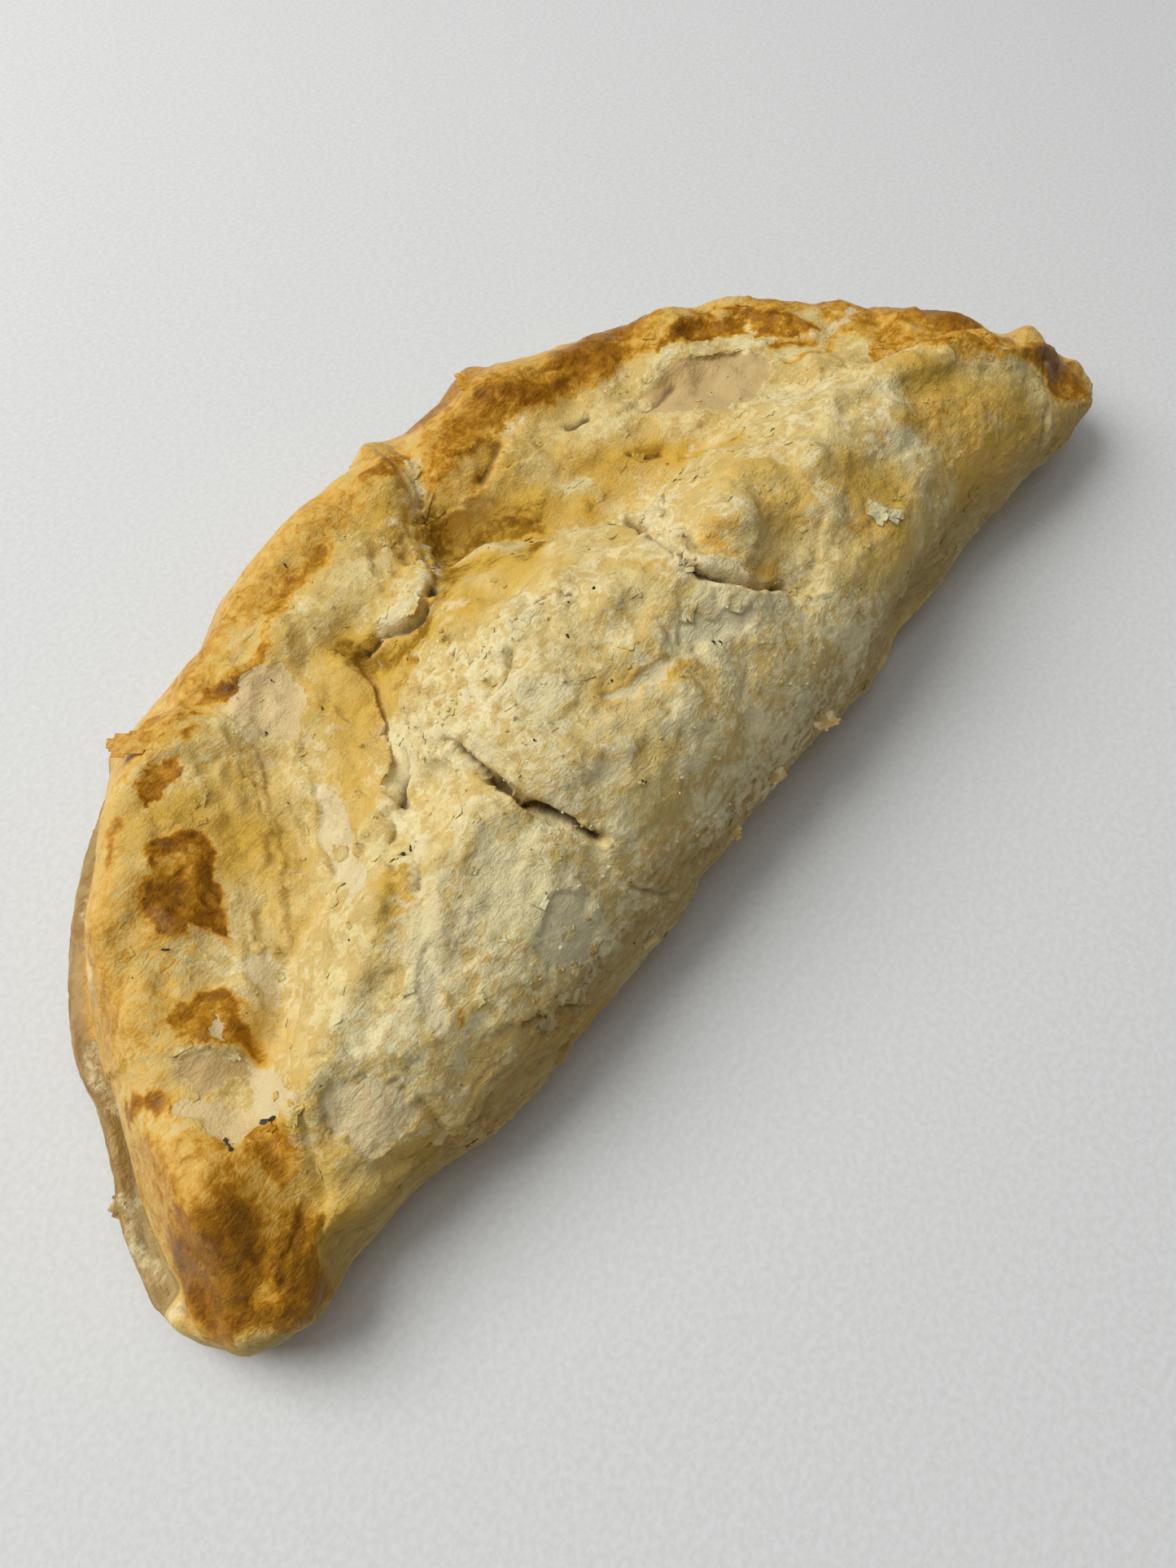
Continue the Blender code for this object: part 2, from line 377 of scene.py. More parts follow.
skin = numbers(crust_mesh.vertices, "co") / MM
outward = numbers(crust_mesh.vertex_normals, "vector")
print("the skin has", len(skin), "points")

# %% [markdown]
# These fields are used by the relief and by the colours. The first says how far a point is inside the
# crimped edge, because the crimp is smooth and golden there. The outline is the same rounded curve as
# the solid's. The shaken places make straight lines come out ragged.

# %% Where each point is
HALF_LENGTH = 105.5
CRIMP_DEPTH = 87.0
CRIMP_POWER = 2.3
MIDDLE_X, MIDDLE_Y = -1.9, 41.7

plan_x, plan_y = skin[:, 0] + MIDDLE_X, skin[:, 1] + MIDDLE_Y
along_share = np.abs(plan_x / HALF_LENGTH) ** CRIMP_POWER
across_share = np.abs(plan_y / CRIMP_DEPTH) ** CRIMP_POWER
around = (along_share + across_share) ** (1 / CRIMP_POWER)
inward = (1 - around) * CRIMP_DEPTH
steep = 1 - smooth(0.25, 0.75, np.abs(outward[:, 2]))
lying = smooth(0.2, 1.6, skin[:, 2])
underneath = smooth(0.3, 0.8, -outward[:, 2])


def shaken(points, size, amount, layer):
    """The points moved about by noise, so that a line near them looks ragged."""
    shifts = [rough_noise(points, size, 2, layer + 5 * axis) for axis in range(3)]
    return points + amount * np.stack(shifts, axis=1)


ragged = shaken(shaken(skin, 3.2, 0.9, 20), 1.1, 0.35, 40)
cloudy = shaken(skin, 7.0, 2.6, 60)
rim = smooth(20.0, 6.0, inward + 2.0 * noise(skin, 9.0, 80)) * smooth(-0.3, 0.3, plan_y / 10.0)
print("points on the crimp:", int((rim > 0.5).sum()))

# %% [markdown]
# Two areas have a grain of their own. The apron between roll and mound is pulled into long folds, so
# its noise is stretched along them. The top of the middle panel is crumbly, with pits between crumbs.

# %% Areas with their own grain
ZONE_REACH = 30.0


def zone(points, pixels, fade):
    """1 inside an outline of pixels, fading out over a few mm."""
    border = trail(pixels + pixels[:1])
    rows, off, _ = beside(points, border, ZONE_REACH)
    inside = inside_outline(points[rows], border[:-1])
    share = np.zeros(len(points))
    share[rows] = smooth(-fade, fade, np.where(inside, off, -off))
    return share


def along_folds(points, start, end, squeeze):
    """The points pressed together along a direction on the crust, so noise is drawn out that way."""
    direction = trail((end,))[0] - trail((start,))[0]
    direction /= np.linalg.norm(direction)
    return points - np.outer(points @ direction, direction) * (1 - squeeze)


APRON = ((250, 890), (300, 900), (345, 915), (400, 820), (440, 820), (470, 880), (480, 960), (470, 1050),
         (476, 1140), (430, 1300), (360, 1310), (345, 1200), (300, 1100), (255, 1000))
CRUMBLY = ((500, 790), (560, 760), (628, 770), (632, 840), (590, 880), (560, 930), (500, 930), (484, 860))
LEFT_SHEETS = ((484, 1010), (560, 930), (640, 1000), (680, 1060), (640, 1160), (560, 1300), (500, 1300),
               (486, 1150))
WHITE_TEAR = ((490, 575), (512, 560), (528, 600), (530, 660), (538, 690), (520, 740), (470, 745), (440, 700),
              (478, 650), (488, 610))
HOLLOWS = ((530, 650), (600, 560), (720, 480), (830, 520), (900, 540), (800, 620), (780, 650), (650, 720),
           (560, 730))

apron = zone(cloudy, APRON, 4.0)
left_sheets = zone(cloudy, LEFT_SHEETS, 4.0)
crumbly = np.maximum(zone(ragged, CRUMBLY, 3.0), 0.8 * zone(ragged, WHITE_TEAR, 1.5))
hollows = zone(cloudy, HOLLOWS, 4.0)

# %% [markdown]
# Puff pastry bakes into dozens of thin sheets. Where they tear, the surface steps down from sheet to
# sheet like a contour map. The steps are made the way a map is: a bumpy field is cut into levels, and
# each level stands a little higher than the last. The crimp was brushed with egg and is much smoother.
# Each sheet also gets a tone of its own from 0 to 1: a sine of its level, so fast that it looks random.

# %% Sheets that step down like a map
SHEET = 0.17
LEVELS, SMALL_LEVELS = 4.2, 2.4
SWELL, GRAIN, WRINKLE = 0.18, 0.04, 0.4


def sheet_steps(points, size, levels, crisp, layer):
    """Height in sheets and the sheet number, for ragged levels of a bumpy field."""
    field = levels * (rough_noise(points, size, 3, layer) + 0.12 * noise(points, size / 9, layer + 9))
    level = np.floor(field)
    rise = smooth(1 - crisp, 1, field - level)
    return level + rise, level + (field - level > 1 - crisp / 2)


stretched = ragged * np.array([1.0, 1.25, 1.0])
broad_steps, broad_level = sheet_steps(stretched, 13.0, LEVELS, 0.1, 100)
small_steps, small_level = sheet_steps(stretched + 31.0, 5.0, SMALL_LEVELS, 0.16, 120)
bare = (1 - 0.92 * rim) * (1 - 0.65 * apron) * (1 - 0.6 * hollows)
relief = SHEET * bare * (broad_steps + 0.5 * small_steps)
relief += SWELL * rough_noise(skin, 11.0, 2, 140) * (1 - 0.6 * rim)
relief += GRAIN * rough_noise(skin, 1.3, 2, 160) * (1 - 0.4 * rim)
wrinkles = noise(cloudy * np.array([0.35, 1.0, 1.0]), 3.2, 150)
relief += WRINKLE * rim * (0.4 - np.abs(wrinkles)) * smooth(2.0, 7.0, inward)
sheet_tone = (np.sin(broad_level * 12.9898 + small_level * 78.233) * 43758.5453) % 1.0
print("sheets from level", int(broad_level.min()), "to", int(broad_level.max()))

# %% [markdown]
# On the steep sides the cut edges of the sheets show as fine lines that run along the pasty. There the
# levels follow the height above the table, bent by a slow noise.

# %% Edges of the sheets on the sides
LINE_GAP = 1.5
LINE_DEPTH = 0.42

lines = skin[:, 2] / LINE_GAP + 1.6 * noise(skin * np.array([0.5, 0.5, 1.0]), 6.0, 180)
lines += 0.35 * noise(skin, 1.6, 190)
fold_side = smooth(4.0, -6.0, plan_y) * smooth(33.0, 20.0, skin[:, 2])
bare_side = np.maximum(steep * fold_side, 0.45 * steep * smooth(8.0, 4.0, skin[:, 2]))
line_share = lines - np.floor(lines)
relief += LINE_DEPTH * bare_side * (smooth(0.0, 0.25, line_share) - line_share)

# %% [markdown]
# The big torn edges are drawn one by one. Each line below is drawn so that the upper sheet lies on its
# left. The upper sheet rises towards the torn edge by the first number, over the reach given by the
# second, both in mm.

# %% Torn edges
TORN_EDGES = {
    "lip over the hollow": (((440, 806), (456, 770), (480, 765), (513, 745), (530, 716), (534, 682),
                             (522, 640), (512, 600), (500, 570)), 0.7, 5.0),
    "inner edge of the apron": (((452, 1048), (472, 1035), (478, 985), (470, 920), (462, 880), (445, 845),
                                 (424, 818)), 1.1, 7.0),
    "crack in the middle": (((702, 727), (667, 733), (645, 746), (632, 762), (628, 800), (628, 836),
                             (604, 852), (580, 874)), 0.9, 6.0),
    "torn lip at the near end": (((120, 1330), (140, 1322), (178, 1301), (208, 1294), (256, 1288),
                                  (290, 1297), (316, 1306)), 0.45, 4.0),
    "flake by the fold": (((622, 1262), (645, 1250), (675, 1234), (707, 1226), (755, 1212),
                           (795, 1180)), 0.8, 6.0),
    "pale sheet on the far side": (((1110, 446), (1060, 451), (1000, 455), (965, 470),
                                    (940, 492)), 0.6, 6.0),
    "sheet below the peel": (((940, 492), (900, 508), (845, 512), (800, 506), (770, 520)), 0.7, 5.0),
    "sheet above the peel": (((770, 500), (786, 478), (812, 446), (836, 428)), 0.7, 4.0),
    "ridge of the upper sheet": (((700, 556), (660, 560), (619, 578), (580, 606), (530, 645)), 0.8, 6.0),
    "top of the right lump": (((905, 540), (880, 556), (850, 562), (818, 568), (808, 590), (812, 630),
                               (828, 662)), 0.9, 6.0),
    "near side of the left vent": (((745, 1036), (695, 1020), (651, 1000), (599, 963), (560, 926),
                                    (535, 924)), 1.0, 5.0),
    "near side of the right vent": (((995, 735), (950, 727), (905, 712), (862, 710), (835, 690),
                                     (800, 660), (776, 642)), 0.7, 4.0),
    "shelf over the amber hollow": (((640, 640), (700, 648), (760, 640), (790, 646)), 0.6, 5.0),
    "golden shoulder of the apron": (((300, 1170), (318, 1120), (330, 1060), (322, 1000),
                                      (296, 940)), 0.5, 5.0),
    "low fold of the apron": (((420, 1120), (404, 1040), (388, 970), (372, 915)), 0.6, 4.0),
    "second fold of the apron": (((360, 1150), (352, 1080), (338, 1010), (318, 935)), 0.6, 4.0),
    "edge at the pleat": (((560, 560), (590, 545), (612, 546), (622, 566)), 0.8, 4.0),
    "sheet by the yellow patch": (((512, 1130), (520, 1080), (508, 1030), (496, 1000)), 0.5, 3.0),
    "low sheet of the fold": (((520, 1430), (590, 1372), (660, 1300), (720, 1250)), 0.6, 4.0),
    "high sheet of the fold": (((800, 1110), (840, 1080), (880, 1035), (920, 985)), 0.5, 4.0),
    "crust end at the far tip": (((1285, 560), (1290, 520), (1283, 480), (1290, 450)), 0.2, 3.0),
    "near end, lower skin": (((330, 1660), (350, 1600), (345, 1540), (372, 1490)), 0.4, 4.0),
    "upper left flake": (((528, 640), (505, 650), (470, 640), (430, 660)), 0.6, 5.0),
}
EDGE_CURL = 1.6
DROP_WIDTH, DROP_SHARE = 0.35, 0.6
UNDERCUT_WIDTH, UNDERCUT_SHARE = 1.2, 0.25


def torn_edges(points):
    """Height of the sheets that rise towards the torn edges."""
    height = np.zeros(len(points))
    for pixels, rise, reach in TORN_EDGES.values():
        rows, off, side = beside(points, trail(pixels), reach)
        upper = (1 - np.clip(off / reach, 0, 1)) ** EDGE_CURL
        drop = upper * np.exp(-off / DROP_WIDTH) * DROP_SHARE
        undercut = UNDERCUT_SHARE * np.exp(-off / UNDERCUT_WIDTH)
        height[rows] += rise * np.where(side > 0, upper, drop - undercut)
    return height


relief += torn_edges(ragged)

# %% [markdown]
# A crevice is a narrow, deep line: the two vents, the crack in the middle, creases at the ends. The
# numbers are its depth and half its width in mm. How much painted shade its inside gets is also kept
# for the colours.

# %% Vents, cracks and creases
CREVICES = {
    "left vent": (((560, 922), (581, 941), (610, 963), (641, 984), (675, 1001), (709, 1018),
                   (738, 1033)), 3.0, 0.65),
    "right vent": (((777, 643), (807, 658), (836, 676), (852, 692), (866, 706), (898, 712), (926, 718),
                    (960, 724)), 3.0, 0.75),
    "seam of the lower sheet": (((106, 1110), (112, 1200), (116, 1290), (134, 1370), (152, 1450),
                                 (176, 1540), (224, 1616), (262, 1648)), 1.0, 0.9),
    "notch by the left vent": (((495, 930), (493, 960), (495, 992)), 1.8, 0.7),
    "holes beside the strip": (((494, 1038), (500, 1052), (512, 1062), (516, 1090)), 1.0, 0.6),
    "crack in the middle": (((702, 729), (668, 735), (648, 747), (634, 762)), 1.6, 0.6),
    "crack down the middle": (((628, 800), (627, 832), (616, 846), (595, 860)), 1.2, 0.5),
    "under the lip": (((446, 804), (462, 779), (515, 754), (534, 718)), 1.8, 1.0),
    "under the apron": (((446, 826), (462, 856)), 0.8, 0.7),
    "near end crease": (((417, 1545), (404, 1495), (390, 1446), (368, 1357), (350, 1308)), 0.7, 0.6),
    "under the torn lip": (((120, 1334), (142, 1326), (178, 1304)), 0.4, 0.3),
    "far crack": (((993, 453), (1040, 450), (1090, 452)), 0.8, 0.4),
    "hole by the pleat": (((593, 590), (600, 570), (612, 548)), 1.2, 1.5),
    "small hole": (((699, 526), (710, 518), (722, 512)), 1.4, 0.8),
    "hole under the shelf": (((776, 556), (795, 560), (812, 554)), 1.1, 0.9),
    "hole under the far sheet": (((792, 497), (812, 484), (828, 470)), 1.2, 1.0),
    "tip crease": (((1284, 440), (1287, 480), (1284, 520), (1275, 552)), 0.9, 0.6),
    "hole by the lump": (((816, 606), (815, 630), (822, 655)), 1.0, 0.9),
    "grey hole": (((839, 790), (836, 768), (848, 760)), 0.7, 0.5),
    "under the flake by the fold": (((640, 1256), (675, 1238), (707, 1230), (752, 1218)), 0.8, 0.5),
    "crease of the fold": (((520, 1355), (545, 1385), (556, 1420)), 0.8, 0.7),
    "fold hole": (((779, 1092), (796, 1095), (816, 1097)), 0.8, 0.5),
    "brown hole": (((699, 1098), (712, 1102), (722, 1108)), 0.6, 0.5),
    "crease between the panels": (((1000, 700), (1004, 670), (1013, 635)), 0.5, 0.9),
    "hair line": (((402, 1046), (412, 1078), (404, 1112)), 0.35, 0.25),
    "white tear holes": (((500, 585), (512, 600), (516, 622)), 0.8, 0.6),
    "left rim crease": (((232, 836), (262, 852), (285, 846)), 0.5, 0.5),
}
FULLY_SHADED_DEPTH = 1.6
SHADE_WIDTH = 0.85


def crevices(points):
    """Depth of the crevices in mm, and how much painted shade their insides get."""
    depth = np.zeros(len(points))
    dark = np.zeros(len(points))
    for pixels, deep, half_width in CREVICES.values():
        rows, off, _ = beside(points, trail(pixels), half_width * 4)
        depth[rows] = np.maximum(depth[rows], deep * np.exp(-(off / half_width) ** 2))
        inside = np.exp(-(off / (half_width * SHADE_WIDTH)) ** 2)
        dark[rows] = np.maximum(dark[rows], min(deep / FULLY_SHADED_DEPTH, 1.0) * inside)
    return depth, dark


crevice_depth, crevice_shading = crevices(shaken(skin, 2.4, 0.22, 200))
relief -= crevice_depth

# %% [markdown]
# A peel is a patch where the top sheet has flaked off and the sheet beneath shows, smooth and paler.
# Each has its outline, its depth in mm, and its tint: 0 is a greenish grey, 1 a pinkish beige, and more
# than 1 goes towards brown, which on the far side is partly painted shade.

# %% Peeled patches
PEELS = {
    "left rim": (((304, 820), (344, 815), (360, 836), (375, 856), (365, 897), (355, 917), (314, 897),
                  (283, 887), (268, 871), (288, 846)), 0.35, 1.0),
    "strip by the apron": (((389, 975), (400, 960), (425, 985), (440, 1040), (452, 1090), (430, 1110),
                            (405, 1060)), 0.3, 0.45),
    "middle": (((836, 757), (858, 752), (878, 762), (900, 745), (930, 752), (936, 762), (905, 775),
                (880, 792), (850, 800), (836, 785)), 0.5, 0.15),
    "below the middle": (((745, 856), (770, 835), (810, 812), (832, 808), (828, 822), (800, 840),
                          (768, 858)), 0.35, 0.4),
    "lower panel": (((668, 1108), (684, 1094), (706, 1096), (728, 1104), (722, 1130), (735, 1150),
                     (716, 1178), (690, 1194), (668, 1180), (660, 1150)), 0.5, 0.2),
    # brown tint, partly painted shade on the far slope
    "far side": (((788, 486), (812, 456), (838, 440), (872, 438), (905, 432), (942, 436), (948, 460),
                  (930, 488), (890, 500), (840, 504), (800, 500)), 0.3, 1.3),
    "near end": (((206, 1304), (230, 1297), (262, 1296), (314, 1308), (312, 1318), (288, 1322),
                  (276, 1340), (250, 1346), (232, 1338)), 0.3, 1.3),
    "near end, low": (((214, 1352), (236, 1346), (262, 1362), (318, 1356), (322, 1380), (293, 1408),
                       (268, 1405), (246, 1384), (222, 1380)), 0.25, 1.0),
    "near end pale": (((300, 1315), (330, 1309), (361, 1346), (342, 1371), (318, 1383),
                       (304, 1350)), 0.2, 0.6),
    "oval in the brown": (((256, 1256), (266, 1243), (280, 1246), (286, 1264), (278, 1282),
                           (262, 1278)), 0.2, 0.6),
    "low valley": (((395, 1345), (440, 1325), (500, 1335), (520, 1360), (500, 1400), (450, 1420),
                    (410, 1400)), 0.3, 0.9),
    "fold patch": (((648, 1262), (690, 1240), (740, 1228), (760, 1236), (720, 1275),
                    (670, 1300)), 0.4, 0.6),
    "low left": (((300, 1180), (330, 1165), (352, 1200), (345, 1240), (318, 1236)), 0.2, 0.5),
    "strip in the panel": (((514, 1170), (526, 1160), (540, 1220), (548, 1270), (530, 1276),
                            (516, 1230)), 0.3, 0.4),
}
PEEL_REACH = 12.0
PEEL_CURL, CURL_WIDTH = 0.12, 0.45


def peels(points):
    """Depth of the peeled patches, how bare each point is, and its tint."""
    depth, bareness, tint = (np.zeros(len(points)) for _ in range(3))
    for pixels, deep, pink in PEELS.values():
        border = trail(pixels + pixels[:1])
        rows, off, _ = beside(points, border, PEEL_REACH)
        signed = np.where(inside_outline(points[rows], border[:-1]), off, -off)
        bare_here = smooth(-0.15, 0.25, signed)
        tint[rows] = np.where(bare_here > bareness[rows], pink, tint[rows])
        bareness[rows] = np.maximum(bareness[rows], bare_here)
        curled = PEEL_CURL * np.exp(-((signed + 0.5) / CURL_WIDTH) ** 2)
        depth[rows] = np.maximum(depth[rows], deep * bare_here) - curled
    return depth, bareness, tint


peel_depth, peel, peel_tint = peels(ragged)
relief = relief * (1 - 0.35 * peel) - peel_depth * (1 - crevice_shading)

# %% [markdown]
# Some marks are soft: ridges where the dough folded, hollows pressed by a finger, blisters in the egg
# glaze. A swelling is a stroke with a height and a reach in mm; a hollow has a height below zero.

# %% Swellings and hollows
SWELLINGS = {
    "under the left flake": (((128, 906), (150, 900)), -2.0, 3.6),
    "golden ridge of the apron": (((432, 826), (452, 870), (466, 930), (470, 985), (464, 1036)), 1.1, 3.2),
    "groove beside it": (((424, 860), (440, 910), (448, 970), (450, 1020)), -0.6, 1.8),
    "second ridge": (((392, 860), (412, 920), (425, 975)), 0.5, 2.6),
    "groove of the rim": (((300, 800), (330, 748), (372, 700), (400, 668)), -0.8, 3.0),
    "fold of the rim": (((258, 800), (310, 720), (360, 650)), 0.5, 4.0),
    "rim fold crossing": (((330, 718), (360, 706), (400, 712), (440, 735)), -0.5, 2.0),
    "smooth strip": (((486, 925), (488, 980), (484, 1020)), 0.4, 2.6),
    "pale strip": (((506, 1005), (520, 1040), (528, 1090), (536, 1140)), 0.6, 1.8),
    "groove of the strip": (((500, 1030), (512, 1075), (520, 1130), (522, 1170)), -0.5, 1.6),
    "near end crest": (((250, 1420), (246, 1500), (262, 1580)), 0.7, 6.0),
    "near end lump": (((350, 1500), (372, 1540), (352, 1590)), 0.7, 4.0),
    "near end second lump": (((330, 1560), (345, 1600)), 0.5, 3.0),
    "near end furrow": (((318, 1480), (322, 1540), (312, 1600)), -0.7, 2.4),
    "roll furrow": (((170, 1300), (190, 1380), (176, 1440)), -0.3, 3.0),
    "blotch ring": (((186, 1062), (200, 1042), (222, 1036), (240, 1052), (238, 1075)), 0.5, 1.2),
    "blotch middle": (((206, 1060), (214, 1064)), -0.5, 2.0),
    "blotch sink": (((190, 1095), (225, 1110), (262, 1125)), -0.6, 3.0),
    "blister of the rim": (((175, 975), (192, 950), (215, 935)), -0.5, 1.8),
    "blister edge": (((160, 990), (170, 950), (190, 925)), 0.4, 1.2),
    "brown blister": (((236, 850), (262, 842), (288, 838)), -0.5, 1.6),
    "far blister": (((812, 425), (830, 402), (856, 392), (885, 385), (915, 384)), 0.8, 1.2),
    "inside the far blister": (((850, 408), (880, 402), (912, 400)), -0.7, 2.6),
    "second far blister": (((925, 386), (950, 388), (975, 394), (996, 410)), 0.8, 1.1),
    "inside the second blister": (((935, 405), (965, 408), (985, 412)), -0.6, 2.0),
    "far groove": (((945, 422), (975, 424), (996, 420)), -0.7, 1.2),
    "furrow under the far rim": (((745, 470), (780, 446), (810, 428)), -0.6, 2.0),
    "hollow of the far sheet": (((800, 486), (822, 474)), -1.0, 3.0),
    "olive hollow": (((818, 556), (850, 552), (892, 545)), -1.1, 2.6),
    "amber hollow": (((540, 690), (570, 660), (620, 650), (660, 668)), -0.9, 5.0),
    "dark hollow": (((462, 800), (490, 785), (516, 768)), -1.2, 3.6),
    "sheet between the hollows": (((540, 625), (590, 610), (640, 612)), 0.6, 3.0),
    "pale cushion": (((640, 560), (690, 540), (720, 535)), 0.6, 5.0),
    "furrow above it": (((628, 512), (670, 500), (700, 490)), -0.7, 3.0),
    "furrow right of it": (((740, 560), (765, 548), (790, 530)), -0.7, 2.6),
    "upper middle ripple": (((745, 585), (780, 590), (800, 600)), -0.5, 2.0),
    "crumbly mound": (((520, 850), (560, 810), (600, 800)), 0.7, 6.0),
    "mid panel crest": (((700, 780), (770, 830), (850, 880)), 0.5, 9.0),
    "peel furrow": (((748, 852), (790, 832), (836, 808)), -0.6, 2.2),
    "lump furrow": (((946, 600), (952, 640), (938, 680)), -0.8, 3.4),
    "lump crest": (((880, 600), (905, 650), (900, 690)), 0.6, 5.0),
    "shoulder crest": (((1040, 560), (1090, 580), (1110, 620)), 0.3, 6.0),
    "shoulder furrow": (((1150, 600), (1160, 650), (1140, 700)), -0.9, 3.0),
    "fold, right part": (((1195, 640), (1160, 700), (1130, 750), (1100, 800)), -3.0, 8.0),
    "far tip, outer side": (((1280, 405), (1310, 418), (1335, 440), (1350, 475)), -2.0, 4.0),
    "left panel fold": (((560, 1320), (620, 1250), (660, 1200)), 0.5, 5.0),
    "left panel furrow": (((470, 1330), (540, 1330), (600, 1310)), -0.6, 3.0),
    "creased corner": (((410, 1480), (440, 1450), (500, 1430)), -0.7, 2.0),
    "corner ridge": (((430, 1500), (470, 1475), (520, 1440)), 0.5, 2.4),
    "corner ridge two": (((420, 1440), (460, 1425), (500, 1400)), 0.4, 2.2),
}
STROKE_END = 2.4


def swellings(points):
    """Height of the soft ridges and hollows."""
    height = np.zeros(len(points))
    for pixels, rise, reach in SWELLINGS.values():
        rows, off, _ = beside(points, trail(pixels), reach * STROKE_END)
        height[rows] += rise * np.exp(-(off / reach) ** 2)
    return height


soft = shaken(skin, 6.0, 0.7, 220)
relief += swellings(soft)

# %% [markdown]
# The long folds, the crumbly ground and the streaks in the burnt egg glaze are noise again, stretched
# along a direction that two pixels give.

# %% Long folds, crumbly ground and streaks
BURNT_GLAZE = ((182, 1084), (200, 1078), (236, 1070), (268, 1086), (280, 1130), (262, 1148), (204, 1144),
               (188, 1120))

fold_noise = noise(along_folds(cloudy, (300, 930), (380, 1150), 0.07), 4.4, 240)
thin_folds = noise(along_folds(skin, (300, 930), (380, 1150), 0.1), 1.5, 245)
relief += apron * (1.1 * (0.4 - np.abs(fold_noise)) + 0.2 * thin_folds)
sheet_folds = noise(along_folds(cloudy, (560, 960), (700, 1060), 0.2), 3.0, 250)
relief += left_sheets * 0.35 * (0.4 - np.abs(sheet_folds))
grit = rough_noise(skin, 2.1, 3, 260)
relief += crumbly * (0.45 * grit - 0.35 * smooth(0.15, 0.6, -grit))
glaze_streaks = noise(along_folds(soft, (190, 1090), (262, 1140), 0.15), 1.6, 270)
relief += 0.7 * zone(ragged, BURNT_GLAZE, 1.0) * (0.3 - np.abs(glaze_streaks))

# %% [markdown]
# Now the relief is applied: each point moves along its own outward direction. It fades out at the
# table, so the underside stays flat. A few stretches of the outline are also pulled in or out, level
# with the table, where the real edge bulges, folds over or has a notch. Such a nudge has its line, its
# shift in pixels, its reach in mm, and the height in mm from which it works.

# %% Move the skin
DEEPEST, HIGHEST = -3.5, 2.4
NUDGES = {
    "near end, right side": (((505, 1465), (470, 1500), (440, 1530)), (-13, -13), 6.0, 0),
    "notch by the near end": (((440, 1538), (428, 1552)), (-15, -9), 3.2, 0),
    "near tip": (((300, 1655), (345, 1645), (380, 1618)), (5, 10), 6.0, 0),
    "left side": (((108, 1365), (120, 1400), (128, 1435)), (12, 0), 5.0, 0),
    "rim by the flake": (((186, 880), (198, 855)), (12, 4), 3.0, 0),
    "corner of the rim": (((510, 528), (545, 495), (570, 468)), (-16, -14), 4.5, 4),
    "rim under the golden flake": (((455, 565), (490, 545)), (-12, -9), 3.6, 7),
    "rim right of the corner": (((625, 435), (675, 425)), (0, 16), 4.5, 0),
    "rim before the far tip": (((1150, 388), (1180, 395)), (0, -5), 3.0, 0),
    "hump before the far tip": (((1225, 398), (1255, 403), (1285, 412)), (-3, 19), 4.5, 0),
    "hump of the far tip": (((1268, 402), (1296, 410)), (0, 32), 3.6, 0),
    "far tip, fold side": (((1340, 500), (1318, 535)), (-18, -7), 4.0, 0),
    "bulge behind the far tip": (((1270, 585), (1250, 605)), (-12, -8), 4.0, 0),
    "bulge of the fold": (((1150, 730), (1130, 755)), (-16, -10), 4.0, 0),
    "fold, middle": (((1060, 850), (1075, 825)), (9, 6), 4.0, 0),
    "fold, near part": (((800, 1150), (740, 1230), (680, 1300), (620, 1370)), (14, 14), 7.0, 0),
}


def nudges(points):
    """How far the outline is pulled in or out. An edge that hangs over a side moves only from a height."""
    shift = np.zeros((len(points), 3))
    for pixels, (across, down), reach, lowest in NUDGES.values():
        start = pixel_on_level(pixels[0], EDGE_LEVEL)
        pull = pixel_on_level((pixels[0][0] + across, pixels[0][1] + down), EDGE_LEVEL) - start
        rows, off, _ = beside(points, trail(pixels), reach * STROKE_END)
        share = np.exp(-(off / reach) ** 2) * smooth(lowest - 3, lowest + 2, points[rows, 2])
        shift[rows] += share[:, None] * np.array(pull)
    return shift


relief *= lying * (1 - underneath)
relief -= np.median(relief[lying > 0.9])
relief = np.clip(relief, DEEPEST, HIGHEST) * lying * (1 - underneath)
moved = skin + outward * relief[:, None] + nudges(skin)
moved[:, 2] = np.maximum(moved[:, 2], 0.0)
print("relief from", round(relief.min(), 2), "to", round(relief.max(), 2), "mm")
